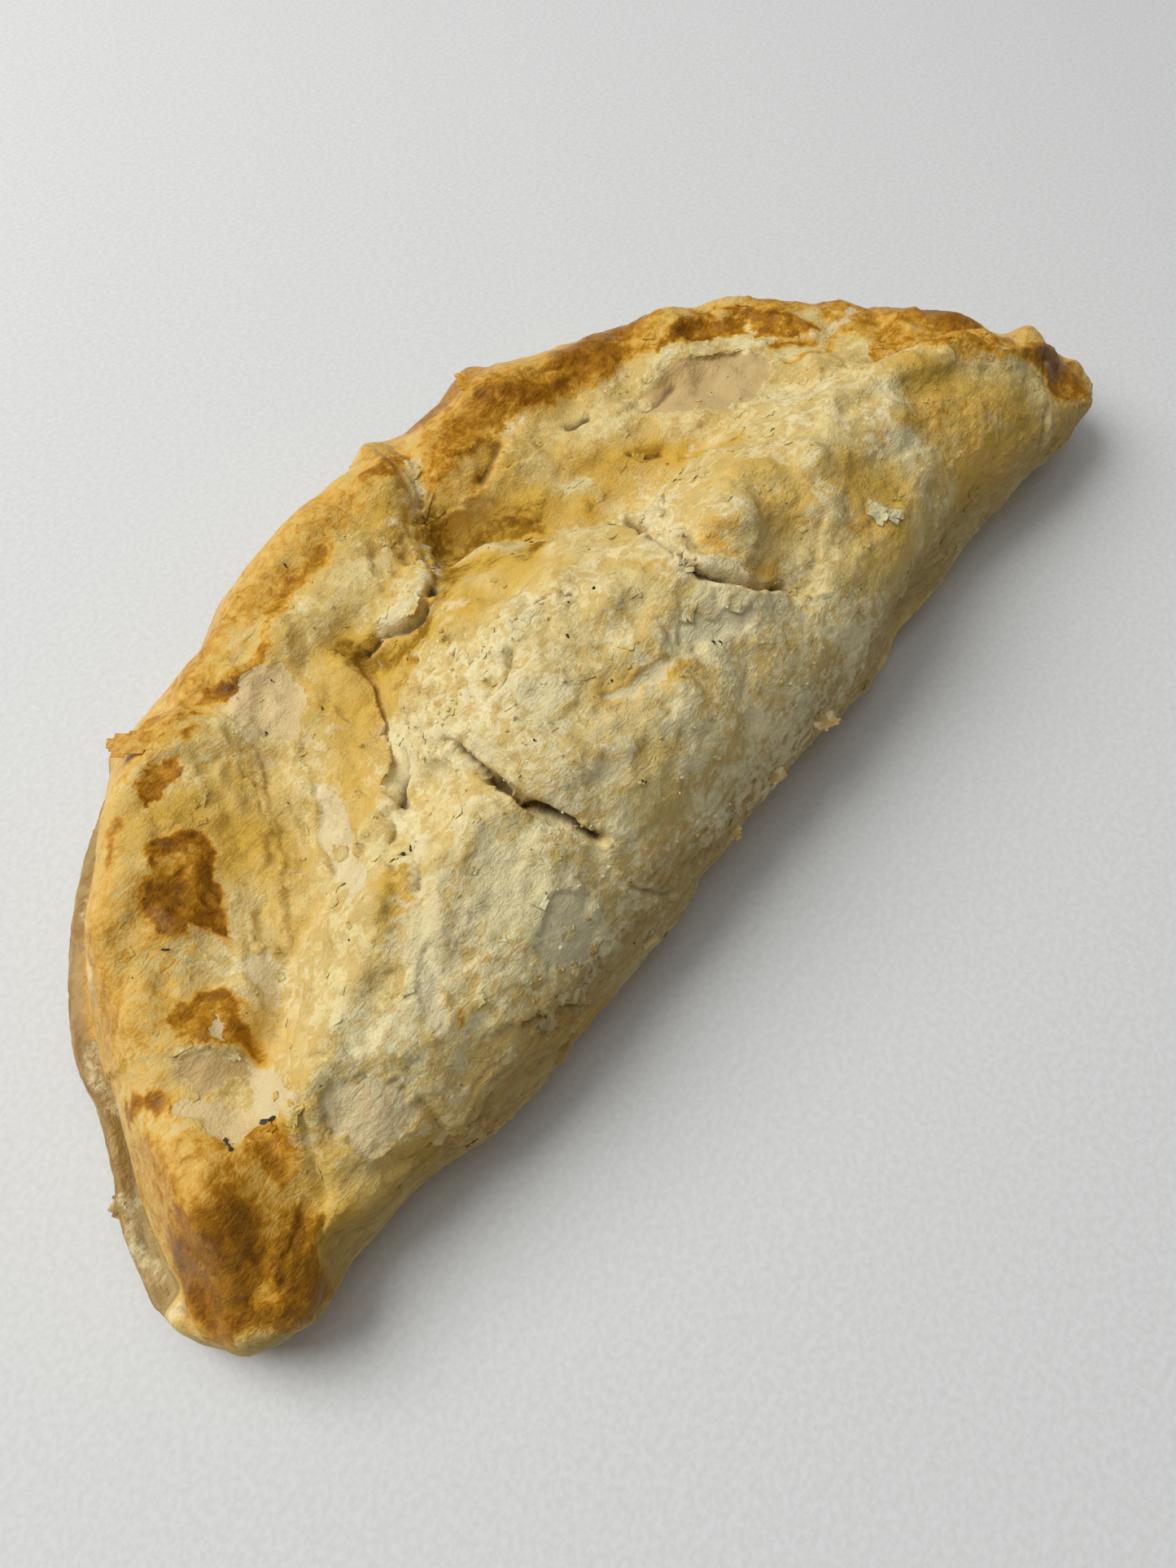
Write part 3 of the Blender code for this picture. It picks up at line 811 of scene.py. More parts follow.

# %% [markdown]
# The colours are kept as numbers on the points, so the finish can use them anywhere on the surface and
# the flakes can take them over. Toast is how far a place is baked, from cream at 0 over golden and
# orange to dark brown at 1; a few strokes and patches also use it to paint shade on flanks that face
# away from the lamps. Each stroke has its line, its reach in mm and its strength. Each browned patch
# has its outline, its strength and its fade in mm; a strength below 0 makes it paler again.

# %% Where the crust is toasted, and where shade is painted
TOASTED_AND_SHADED = {
    "far rim": (((700, 428), (760, 405), (860, 374), (950, 369), (1060, 378), (1180, 395),
                 (1290, 435)), 4.0, 0.42),
    "upper rim": (((500, 530), (565, 462), (640, 462), (720, 430), (790, 400)), 6.0, 0.30),
    "upper slope": (((530, 600), (560, 545), (610, 505), (680, 478), (745, 440)), 4.5, 0.24),
    "brown of the upper rim": (((600, 482), (640, 474), (690, 472)), 1.6, 0.24),
    "ribs of the upper rim": (((548, 560), (572, 520), (600, 490)), 1.6, 0.22),
    "brown before the arcs": (((740, 446), (765, 436), (800, 424)), 1.6, 0.34),
    "first arc": (((813, 427), (827, 402), (853, 386), (893, 380), (920, 382)), 1.0, 0.75),
    "second arc": (((923, 387), (960, 387), (987, 397), (998, 409)), 1.0, 0.75),
    "dark spot": (((946, 420), (972, 422), (996, 420)), 0.9, 0.6),
    "orange streak": (((970, 449), (998, 436), (1026, 416)), 1.3, 0.42),
    "far rim smear": (((1187, 408), (1210, 420), (1228, 438)), 2.0, 0.24),
    "far rim second smear": (((1100, 410), (1150, 425), (1190, 440)), 2.4, 0.14),
    "far tip end": (((1288, 440), (1312, 452), (1330, 478)), 2.6, 0.25),
    "far shoulder streak": (((1080, 532), (1120, 512), (1180, 498), (1226, 500)), 2.2, 0.22),
    # partly tan browning, partly painted shade of the far shoulder
    "far shoulder low": (((1180, 560), (1220, 560), (1240, 590)), 6.0, 0.14),
    "lump, first spot": (((884, 636), (889, 646)), 1.3, 0.34),
    "lump, second spot": (((905, 634), (909, 642)), 1.3, 0.30),
    "lump low": (((870, 672), (890, 690), (920, 698), (948, 700)), 2.6, 0.26),
    "lump top": (((850, 600), (900, 580), (950, 560)), 8.0, 0.14),
    "glaze at the corner": (((449, 583), (470, 574), (497, 566)), 1.6, 0.5),
    "corner flake": (((430, 566), (470, 545), (500, 528)), 4.0, 0.34),
    "left rim, high": (((440, 600), (400, 640), (350, 690), (300, 740)), 5.0, 0.16),
    "groove of the rim": (((314, 815), (326, 770), (345, 730), (404, 664)), 1.5, 0.34),
    "left rim, middle": (((262, 780), (230, 840), (190, 890)), 5.0, 0.16),
    "small arc": (((232, 898), (237, 887), (250, 878)), 0.9, 0.5),
    "orange by the blister": (((280, 836), (300, 815), (314, 800)), 1.8, 0.32),
    "seam": (((162, 990), (146, 1012), (134, 1040), (132, 1060)), 1.1, 0.42),
    "ring of the blotch": (((184, 1052), (197, 1030), (222, 1017), (246, 1020), (260, 1038),
                            (254, 1062)), 0.9, 0.34),
    "outline of the blotch": (((178, 1082), (170, 1102), (182, 1118), (194, 1139),
                               (222, 1146)), 0.9, 0.28),
    "drips of the blotch": (((268, 1087), (277, 1117), (283, 1155)), 0.8, 0.3),
    "left rim, low": (((112, 1150), (118, 1230), (140, 1320)), 5.0, 0.1),
    "second brown, top": (((225, 1234), (243, 1222), (274, 1225), (290, 1234)), 1.0, 0.34),
    "second brown, end": (((290, 1262), (305, 1270), (318, 1290)), 1.3, 0.34),
    "near end dark": (((218, 1540), (235, 1575), (250, 1600)), 2.6, 0.34),
    "near end dark, right": (((290, 1500), (305, 1560), (296, 1610)), 2.6, 0.26),
    "near end spot": (((236, 1582), (242, 1594)), 1.2, 0.5),
    "near end tip": (((336, 1618), (362, 1612), (392, 1594)), 2.4, 0.5),
    # painted shade on the near end's right flank, as browning
    "near end, right flank in painted shade": (((350, 1520), (372, 1545), (376, 1580)), 4.5, 0.22),
    "lumps of the near end": (((350, 1510), (362, 1550), (350, 1590)), 4.0, 0.16),
    "rims of the lumps": (((332, 1560), (350, 1574), (372, 1560)), 1.2, 0.24),
    "valley gold": (((345, 1290), (370, 1310), (378, 1350)), 2.4, 0.2),
    "orange spot": (((566, 1246), (568, 1254)), 1.0, 0.42),
    "yellow strip": (((486, 1082), (500, 1100), (504, 1120)), 1.6, 0.18),
    "middle spots": (((770, 770), (800, 760)), 4.0, 0.08),
    "right edge of the middle": (((960, 740), (985, 748)), 3.0, 0.14),
    "strip below the loose flake": (((1056, 640), (1090, 655)), 2.6, 0.22),
    "fold brown": (((545, 1395), (600, 1345), (650, 1290)), 3.0, 0.12),
    "apron gold": (((440, 840), (462, 900), (470, 970), (466, 1030)), 1.6, 0.22),
    "left lower sheet": (((92, 1140), (90, 1240), (108, 1340)), 1.6, 0.3),
    "pleat hollow": (((585, 605), (596, 575), (612, 550)), 2.2, 0.34),
}

BROWNED_AND_SHADED = {
    "gold of the left rim": (((128, 930), (160, 890), (215, 835), (260, 750), (330, 665), (430, 590),
                              (500, 535), (510, 570), (470, 610), (400, 680), (350, 750), (318, 805),
                              (280, 850), (230, 900), (160, 980)), 0.09, 1.5),
    # painted shade on the near end's right flank, as a browned patch
    "near end, flank in painted shade": (((345, 1490), (390, 1470), (412, 1500), (418, 1545), (400, 1590),
                                (350, 1600), (330, 1550)), 0.3, 1.2),
    "golden far rim": (((1000, 366), (1060, 370), (1120, 376), (1190, 388), (1260, 412), (1330, 440),
                        (1300, 456), (1240, 440), (1180, 434), (1120, 428), (1060, 412),
                        (1010, 402)), 0.34, 2.0),
    "blotch": (((184, 1049), (197, 1028), (222, 1015), (246, 1018), (262, 1037), (256, 1062), (268, 1087),
                (277, 1117), (283, 1155), (256, 1148), (222, 1145), (194, 1139), (181, 1117), (169, 1102),
                (178, 1080)), 0.60, 0.35),
    "middle of the blotch": (((191, 1056), (203, 1043), (222, 1046), (228, 1059), (215, 1068),
                              (197, 1067)), -0.5, 0.6),
    "second brown": (((212, 1244), (225, 1232), (243, 1220), (274, 1223), (290, 1232), (287, 1241),
                      (305, 1260), (318, 1278), (314, 1291), (287, 1284), (256, 1278), (231, 1278),
                      (209, 1266)), 0.42, 0.6),
    "orange rectangle": (((154, 1352), (172, 1346), (203, 1349), (209, 1371), (154, 1374)), 0.52, 0.3),
    "amber corner": (((318, 1386), (348, 1377), (373, 1396), (376, 1433), (352, 1462), (330, 1445),
                      (305, 1433), (290, 1412)), 0.44, 0.5),
    "near end gold": (((150, 1400), (200, 1396), (250, 1402), (290, 1412), (348, 1400), (350, 1470),
                       (336, 1494), (318, 1531), (324, 1568), (318, 1605), (299, 1640), (262, 1650),
                       (225, 1600), (205, 1544), (184, 1494), (160, 1450)), 0.2, 0.8),
    "near end brown": (((212, 1490), (262, 1470), (318, 1480), (318, 1510), (312, 1531), (320, 1568),
                        (314, 1605), (295, 1636), (262, 1640), (236, 1600), (215, 1544)), 0.36, 1.0),
    "roll": (((95, 1060), (150, 1000), (250, 1010), (290, 1060), (310, 1150), (330, 1230), (320, 1300),
              (200, 1290), (150, 1320), (120, 1360), (96, 1200)), 0.12, 2.5),
    # partly tan browning, partly painted shade of the far shoulder
    "far shoulder": (((960, 420), (1190, 440), (1280, 520), (1230, 600), (1150, 560), (1060, 540),
                      (1000, 500)), 0.07, 3.0),
    "tip brown": (((1245, 425), (1270, 418), (1325, 440), (1336, 470), (1320, 500), (1300, 490),
                   (1285, 455)), 0.3, 0.8),
    "tip side": (((1283, 455), (1335, 470), (1330, 515), (1305, 545), (1285, 548),
                  (1282, 500)), 0.2, 1.0),
    "blister": (((237, 846), (262, 838), (304, 826), (300, 842), (280, 852), (262, 862),
                 (240, 868)), 0.56, 0.35),
    "glossy brown": (((220, 922), (225, 943), (207, 978), (176, 988), (166, 968),
                      (186, 943)), 0.56, 0.35),
    "inside the first arc": (((820, 420), (834, 400), (858, 390), (913, 386), (920, 404), (880, 416),
                              (840, 424)), 0.55, 0.5),
    "inside the second arc": (((926, 392), (960, 391), (985, 400), (994, 412), (960, 416),
                               (930, 410)), 0.55, 0.4),
    "upper rim brown": (((500, 520), (524, 499), (548, 475), (625, 475), (677, 464), (760, 452),
                         (752, 466), (695, 487), (624, 517), (577, 558), (556, 590), (530, 600),
                         (512, 560)), 0.22, 1.4),
}

# %% [markdown]
# Strokes are laid over each other as thin washes of paint are: each one covers a share of what is still
# bare. The patches come next, and noise breaks both up. The underside bakes an even light brown.

# %% Lay the toast on
CRIMP_TOAST, BOTTOM_TOAST = 0.24, 0.30
STROKE_CUT, STROKE_POWER = 2.2, 2.6


def strokes(points, table):
    """All strokes of a table together, each fading out from its line over its reach."""
    missing = np.ones(len(points))
    for pixels, reach, strength in table.values():
        rows, off, _ = beside(points, trail(pixels), reach * STROKE_CUT)
        missing[rows] *= 1 - strength * np.exp(-(off / reach) ** STROKE_POWER)
    return 1 - missing


brush = shaken(shaken(skin, 5.0, 1.2, 300), 1.6, 0.6, 320)
toast_and_shade = strokes(brush, TOASTED_AND_SHADED)
crimp_toast = CRIMP_TOAST * rim * (1 + 0.4 * rough_noise(skin, 12.0, 3, 340))
toast_and_shade += crimp_toast * (1 - toast_and_shade)
for pixels, strength, fade in BROWNED_AND_SHADED.values():
    patch = zone(brush, pixels, fade) * (1 + 0.4 * rough_noise(soft, 3.0, 3, 355))
    toast_and_shade += strength * patch * ((1 - toast_and_shade) if strength > 0 else toast_and_shade)
toast_and_shade += 0.05 * steep * smooth(12.0, 2.0, skin[:, 2])
toast_and_shade += 0.08 * np.maximum(rough_noise(skin, 16.0, 4, 350) - 0.15, 0) * (1 - rim)
toast_and_shade *= 1 + 0.12 * rough_noise(skin, 3.0, 3, 360)
bottom_toast = BOTTOM_TOAST * underneath * (1 + 0.5 * rough_noise(skin, 9.0, 4, 370))
toast_and_shade = np.maximum(toast_and_shade, bottom_toast)
print("toast up to", round(toast_and_shade.max(), 2))

# %% [markdown]
# Butter soaks some places yellow. The same strokes paint shade into the hollows and furrows, as amber
# and olive. Flour leaves others white. Both are strokes as before.

# %% Where it is yellow, where shade is painted, and where it is white
BUTTER_AND_SHADE_STROKES = {
    # painted shade on the valley wall, under the lip and in the pale hollow, as amber
    "amber hollow": (((528, 660), (560, 680), (600, 662), (640, 652)), 5.0, 0.95),
    "amber hollow, left": (((530, 630), (536, 680), (548, 716)), 3.0, 0.8),
    "amber hollow, low": (((550, 705), (590, 695), (640, 685)), 4.0, 0.8),
    "hollow by the lip": (((540, 740), (500, 790), (460, 812), (436, 800)), 4.0, 1.05),
    "foot of the lip": (((480, 640), (500, 690), (480, 740)), 4.0, 0.35),
    "pale hollow": (((690, 560), (740, 575), (790, 600)), 5.0, 0.5),
    # painted shade on the near end's right flank, as amber
    "near end, right flank in painted shade": (((350, 1500), (385, 1530), (395, 1570)), 5.5, 0.8),
    # yellow on the end of the fold, partly painted shade
    "near end of the fold": (((440, 1390), (500, 1420), (470, 1480)), 6.0, 0.2),
    "golden band": (((535, 620), (575, 590), (620, 560)), 4.0, 0.55),
    "golden band, right": (((640, 610), (690, 625), (730, 640)), 4.0, 0.5),
    "bright spot": (((658, 660), (662, 672)), 2.0, 1.2),
    "yellow spot": (((720, 620), (722, 624)), 1.6, 0.8),
    "yellow by the vent": (((770, 660), (790, 680), (820, 700)), 4.0, 0.30),
    "yellow middle": (((590, 735), (640, 715), (690, 700)), 6.0, 0.35),
    "apron": (((400, 830), (430, 900), (450, 1000)), 7.0, 0.5),
    "apron low": (((300, 950), (330, 1040), (350, 1130)), 7.0, 0.40),
    "glossy gold": (((185, 1010), (230, 1010), (270, 1040)), 6.0, 0.60),
    "rim": (((420, 620), (380, 690), (330, 760), (300, 830)), 8.0, 0.30),
    "upper rim": (((520, 560), (620, 500), (720, 450)), 8.0, 0.35),
    # painted shade in the olive hollow and in the furrows
    "olive hollow": (((815, 556), (850, 552), (895, 545)), 3.0, 0.75),
    "olive furrow": (((745, 560), (790, 545), (800, 520)), 3.0, 0.45),
    "furrow in the middle": (((745, 855), (790, 835), (840, 812)), 3.0, 0.50),
    "left patch": (((484, 1080), (500, 1105), (495, 1130)), 3.6, 0.80),
    "fold patch": (((668, 1262), (690, 1248), (720, 1240)), 4.0, 0.50),
    "fold": (((560, 1400), (640, 1310), (700, 1270)), 7.0, 0.30),
    "left panel": (((600, 1060), (640, 1090)), 8.0, 0.18),
    "near valley": (((340, 1290), (372, 1330), (400, 1360)), 5.0, 0.35),
    "near end": (((360, 1520), (350, 1580)), 6.0, 0.40),
    "near end amber": (((340, 1390), (366, 1430)), 5.0, 0.60),
    "corner": (((440, 610), (480, 600)), 5.0, 0.40),
    "lump": (((840, 600), (870, 580), (940, 570), (960, 620)), 7.0, 0.45),
    "shoulder": (((1050, 590), (1100, 610), (1110, 660)), 7.0, 0.35),
    # partly yellow butter, partly painted shade of the far shoulder
    "far shoulder": (((1130, 470), (1200, 500), (1250, 520), (1200, 570)), 8.0, 0.7),
    "crumbly edge": (((470, 880), (500, 800), (560, 745)), 5.0, 0.45),
    "middle low": (((700, 900), (760, 930), (800, 960)), 7.0, 0.16),
    "vent yellow": (((640, 975), (665, 985)), 1.8, 0.5),
}
FLOURY = {
    "mid panel, left": (((600, 890), (660, 900), (700, 950)), 8.0, 0.35),
    "left panel, high": (((570, 1040), (640, 1080), (700, 1130)), 8.0, 0.35),
    "light of the apron": (((390, 900), (410, 980), (420, 1060)), 4.0, 0.30),
    "light by the peel": (((300, 930), (350, 930), (380, 980)), 4.0, 0.30),
    "white tear": (((508, 570), (516, 600), (512, 622)), 1.6, 0.55),
    "lip": (((533, 678), (525, 712), (500, 742), (460, 765)), 2.0, 0.40),
    "crumbly": (((530, 880), (560, 850), (600, 810), (610, 860)), 6.0, 0.20),
    "vent foot": (((500, 920), (530, 925), (560, 930)), 5.0, 0.45),
    "smooth strip": (((486, 900), (492, 960), (488, 1010)), 3.0, 0.75),
    "middle": (((640, 800), (700, 850), (690, 920)), 7.0, 0.30),
    "middle right": (((860, 820), (930, 860), (960, 920)), 11.0, 0.38),
    "fold side": (((900, 960), (980, 880), (1030, 840)), 8.0, 0.45),
    "right vent foot": (((860, 720), (930, 735), (1000, 750), (1060, 770)), 5.0, 0.55),
    "by the lump": (((790, 600), (812, 640), (830, 680)), 3.4, 0.60),
    "left panel": (((600, 1120), (660, 1090), (720, 1070)), 9.0, 0.40),
    "left panel low": (((560, 1180), (600, 1220), (640, 1200)), 9.0, 0.30),
    "strip": (((500, 1000), (512, 1030), (520, 1120), (530, 1200)), 2.2, 0.60),
    "valley": (((360, 1180), (375, 1240), (400, 1290)), 6.0, 0.30),
    "valley low": (((400, 1380), (450, 1350), (500, 1350)), 7.0, 0.40),
    "torn lip": (((178, 1301), (208, 1294), (256, 1288), (290, 1297), (316, 1306)), 0.6, 0.8),
    "torn strip": (((1017, 407), (1030, 396), (1042, 386), (1056, 374)), 1.2, 1.2),
    "pale far sheet": (((980, 480), (1040, 470), (1090, 462)), 4.6, 0.45),
    "strip above the peel": (((840, 432), (880, 428), (918, 424)), 0.9, 0.45),
    "edge of the far flake": (((788, 476), (808, 448), (834, 430)), 0.9, 0.4),
    "white by the tip": (((1284, 450), (1288, 490), (1280, 530)), 1.8, 0.35),
    "lower sheet": (((104, 1120), (110, 1200), (112, 1300), (128, 1370)), 1.4, 0.65),
    "lower sheet, end": (((150, 1470), (170, 1540), (215, 1610)), 1.8, 0.55),
    "shoulder flecks": (((1098, 530), (1120, 545)), 3.0, 0.35),
    "upper cushion": (((640, 560), (690, 540), (730, 540)), 6.0, 0.30),
    "upper flake": (((696, 600), (716, 592)), 1.3, 0.8),
    "edge of the middle peel": (((836, 800), (838, 760), (880, 745), (930, 745)), 1.3, 0.6),
    "edge of the low peel": (((660, 1110), (684, 1090), (730, 1100), (740, 1150)), 1.5, 0.6),
}

# %% [markdown]
# The strokes and some clouds of noise make the numbers for butter, with its painted shade, and for
# flour. Gloss comes from the egg glaze, so it follows the crimp and the toast. Along the crimp's foot
# the lower sheet shows its layers, and the steep sides show theirs, in dark tones that are partly
# painted shade.

# %% Butter, flour, gloss and layers
MOUND_FLOUR = 0.5

butter_and_shade = strokes(brush, BUTTER_AND_SHADE_STROKES) * (1 + 0.2 * rough_noise(skin, 4.0, 3, 380))
butter_and_shade += 0.22 * rim + 0.22 * np.maximum(rough_noise(skin, 20.0, 3, 390), 0)
floury = strokes(brush, FLOURY) * (1 + 0.3 * rough_noise(skin, 3.0, 3, 400))
floury += crumbly * (0.1 + 0.4 * smooth(0.0, 0.4, grit))
mound = (1 - rim) * (1 - 0.7 * apron) * (1 - hollows) * (1 - peel) * (1 - crumbly) * (1 - 0.5 * fold_side)
between_tips = smooth(-88.0, -70.0, skin[:, 0]) * smooth(85.0, 60.0, skin[:, 0])
mound *= between_tips * (1 - smooth(0.2, 0.4, toast_and_shade))
floury += MOUND_FLOUR * mound * smooth(-0.05, 0.3, rough_noise(ragged, 8.0, 4, 430))
# painted shade in the low pits between the crumbs of the crumbly ground
crevice_shading = np.maximum(crevice_shading, 0.5 * crumbly * smooth(0.25, 0.6, -grit))
gloss = np.clip(0.9 * rim + 1.6 * (toast_and_shade - 0.35), 0, 1) * (1 - peel) * (1 - crumbly)
lower_sheet = smooth(8.0, 6.0, skin[:, 2] + noise(skin, 5.0, 410)) * smooth(3.0, 1.5, inward) * (plan_y > 4.0)
layered = np.maximum(0.7 * bare_side, lower_sheet) * (1 - underneath)
print("floury points:", int((floury > 0.5).sum()), "buttery points:", int((butter_and_shade > 0.5).sum()))

# %% [markdown]
# The numbers are stored on the mesh before it is thinned, because the thinning blends them along with
# the points. The mesh is thinned where it is smooth, which keeps the small faces for the torn edges.

# %% Store the numbers and thin the mesh
MOST_TRIANGLES = 188000
MOST_OF_A_FIELD = 1.5
FIELDS = {"toast_and_shade": toast_and_shade, "butter_and_shade": butter_and_shade, "floury": floury, "peel": peel, "peel_tint": peel_tint,
          "gloss": gloss, "crevice_shade": crevice_shading, "sheet_tone": sheet_tone, "lines": layered}
for name, values in FIELDS.items():
    layer = crust_mesh.attributes.new(name, "FLOAT", "POINT")
    layer.data.foreach_set("value", np.clip(values, 0, MOST_OF_A_FIELD).astype(np.float32))
crust_mesh.vertices.foreach_set("co", (moved * MM).astype(np.float32).ravel())
crust_mesh.update()
before = triangles(crust_mesh)
thin = crust.modifiers.new("fewer faces", "DECIMATE")
thin.ratio = min(1.0, MOST_TRIANGLES / before)
bake_modifiers(crust)
crust_mesh = crust.data
crust_mesh.name = "crust"
crust_mesh.shade_smooth()
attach(crust, "root")
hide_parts("pasty")
print("the crust has", triangles(crust_mesh), "triangles, from", before)

# %% [markdown]
# The finish reads those numbers and adds what is too fine for the mesh: torn scales of a millimetre or
# two, flour grain, painted shade in tiny pits. A noise cut into levels gives crisp scales, both in colour
# and in bump, just as the sheets were made. Raw dough is cream, and toast takes it through gold to brown.

# %% Colours of the crust
CREAM = colour(231, 213, 154)
TAN = colour(212, 184, 114)
BUTTER = colour(213, 170, 60)
# amber of deep butter, and painted shade in the hollows
AMBER_AND_SHADE = colour(146, 106, 12)
FLOUR = colour(234, 223, 178)
PEEL_GREY = colour(220, 213, 176)
PEEL_PINK = colour(222, 198, 148)
PEEL_BROWN_AND_SHADE = colour(186, 154, 98)
SHADE_IN_CREVICES = colour(84, 62, 28)
SHADE_IN_PITS = colour(166, 132, 72)
# cut edges of the sheets, darker in part as painted shade of the low sides
LAYER_DARK_SHADED = colour(124, 96, 54)
LAYER_PALE_SHADED = colour(174, 149, 102)
TOAST_STEPS = ((0.0, colour(232, 206, 130)), (0.22, colour(225, 186, 98)), (0.36, colour(214, 164, 66)),
               (0.48, colour(190, 134, 26)), (0.58, colour(170, 114, 12)), (0.78, colour(136, 87, 3)),
               (1.0, colour(92, 56, 0)))
BUMP_DEPTHS = (0.9, 0.7, 0.3, 0.16)
SCALE_LEVELS, FINE_LEVELS = 14.0, 8.0
DOUGH_SETTINGS = {"Specular IOR Level": 0.22, "Subsurface Weight": 0.15, "Subsurface Scale": 0.0012}

# %% [markdown]
# Each step of the colour is a short function, laid over the one before: raw dough, browning, the cut
# edges of sheets, peeled patches, flour, and painted shade in crevices and pits. The fine noise is added
# to each number first, so every border between two colours comes out ragged.

# %% Colour of the crust, step by step
def reading(tree, name):
    """The number that the mesh holds under a name."""
    return add(tree, "Attribute", attribute_name=name).outputs["Fac"]


def levels_of(tree, value, count):
    """A number cut into flat levels."""
    return number(tree, "DIVIDE", number(tree, "FLOOR", number(tree, "MULTIPLY", value, count)), count)


def stretch(tree, place, factors):
    """Places made longer or shorter along each axis, so noise on them is drawn out the other way."""
    return add(tree, "VectorMath", {0: place, 1: factors}, operation="MULTIPLY").outputs[0]


def dough_colour(tree, read, fine, scales):
    """Raw dough: mottled cream, yellow where butter soaked in, and amber where there is most, which in the
    hollows is painted shade.
    """
    fine_tone = slope(tree, fine, 0.42, 0.58, -0.3, 0.3)
    mottle = number(tree, "ADD", fine_tone, slope(tree, scales, 0.42, 0.58, -0.3, 0.3))
    mottle = number(tree, "ADD", mottle, number(tree, "MULTIPLY", read["sheet_tone"], 0.35))
    raw = blend(tree, slope(tree, mottle, -0.2, 0.7), TAN, CREAM)
    butter_shade_edge = number(tree, "ADD", read["butter_and_shade"], slope(tree, fine, 0.35, 0.65, -0.14, 0.14))
    raw = blend(tree, slope(tree, butter_shade_edge, 0.02, 0.75, 0.0, 0.9), raw, BUTTER)
    return blend(tree, slope(tree, butter_shade_edge, 0.68, 1.1), raw, AMBER_AND_SHADE)


def baked_colour(tree, read, raw, fine, fibres):
    """The dough browned by its toast, with ragged borders between the shades."""
    toast_edge = number(tree, "ADD", read["toast_and_shade"], slope(tree, fine, 0.3, 0.7, -0.11, 0.11))
    toast_edge = number(tree, "ADD", toast_edge, slope(tree, fibres, 0.35, 0.65, -0.05, 0.05))
    ramp = add(tree, "ValToRGB", {"Fac": toast_edge})
    ramp.color_ramp.elements.remove(ramp.color_ramp.elements[1])
    ramp.color_ramp.elements[0].color = TOAST_STEPS[0][1]
    for position, shade in TOAST_STEPS[1:]:
        ramp.color_ramp.elements.new(position).color = shade
    return blend(tree, slope(tree, toast_edge, 0.08, 0.28), raw, ramp.outputs["Color"])


def layered_colour(tree, read, baked, place):
    """Level stripes where the cut edges of the sheets show, in dark tones that are partly painted shade of
    the low sides.
    """
    flattened = stretch(tree, place, (0.35, 0.35, 3.4))
    stripe = grain(tree, flattened, 2.2, 5.0, 0.65, 0.3)
    layers = blend(tree, slope(tree, stripe, 0.34, 0.64), LAYER_DARK_SHADED, LAYER_PALE_SHADED)
    return blend(tree, number(tree, "MULTIPLY", read["lines"], 0.8), baked, layers)


def peeled_colour(tree, read, baked, fine):
    """The sheet that shows where the top one has flaked off."""
    bare = blend(tree, read["peel_tint"], PEEL_GREY, PEEL_PINK)
    # brown above a tint of 1, partly painted shade on the far side
    bare = blend(tree, slope(tree, read["peel_tint"], 1.0, 1.5), bare, PEEL_BROWN_AND_SHADE)
    peel_edge = number(tree, "ADD", read["peel"], slope(tree, fine, 0.3, 0.7, -0.3, 0.3))
    return blend(tree, slope(tree, peel_edge, 0.4, 0.8, 0.0, 0.85), baked, bare)


def dusted_colour(tree, read, peeled, fine, place):
    """Flour over all, then painted shade in the crevices and in tiny pits."""
    flour_edge = number(tree, "ADD", read["floury"], slope(tree, fine, 0.40, 0.60, -0.2, 0.2))
    dusted = blend(tree, slope(tree, flour_edge, 0.25, 0.85, 0.0, 0.75), peeled, FLOUR)
    # painted shade inside the crevices
    deep = blend(tree, slope(tree, read["crevice_shade"], 0.25, 0.95, 0.0, 0.9), dusted, SHADE_IN_CREVICES)
    # painted shade of tiny pits, where a fine noise is low
    pit_shade = slope(tree, grain(tree, place, 1.1, 2.0, 0.5), 0.30, 0.24, 0.0, 0.4)
    return blend(tree, pit_shade, deep, SHADE_IN_PITS)


# %% [markdown]
# The bumps are stacked in the same way: each one starts from the normals of the last. Glaze fills the
# small scales and a peeled sheet is smooth, so the bumps are weaker there. Glaze also shines more.

# %% Bumps, and the whole finish
def fine_relief(tree, read, heights):
    """Scales, fibres and dust as bumps, each on top of the last, and weaker on glaze and peels."""
    smoothness = slope(tree, read["gloss"], 0.2, 1.0, 1.0, 0.25)
    strength = number(tree, "MULTIPLY", smoothness, slope(tree, read["peel"], 0.2, 0.9, 1.0, 0.6))
    below = {}
    for height, depth, share in zip(heights, BUMP_DEPTHS, (strength, strength, 0.8, 0.8)):
        inputs = {"Height": height, "Distance": depth * MM, "Strength": share}
        below = {"Normal": add(tree, "Bump", inputs | below).outputs["Normal"]}
    return below["Normal"]


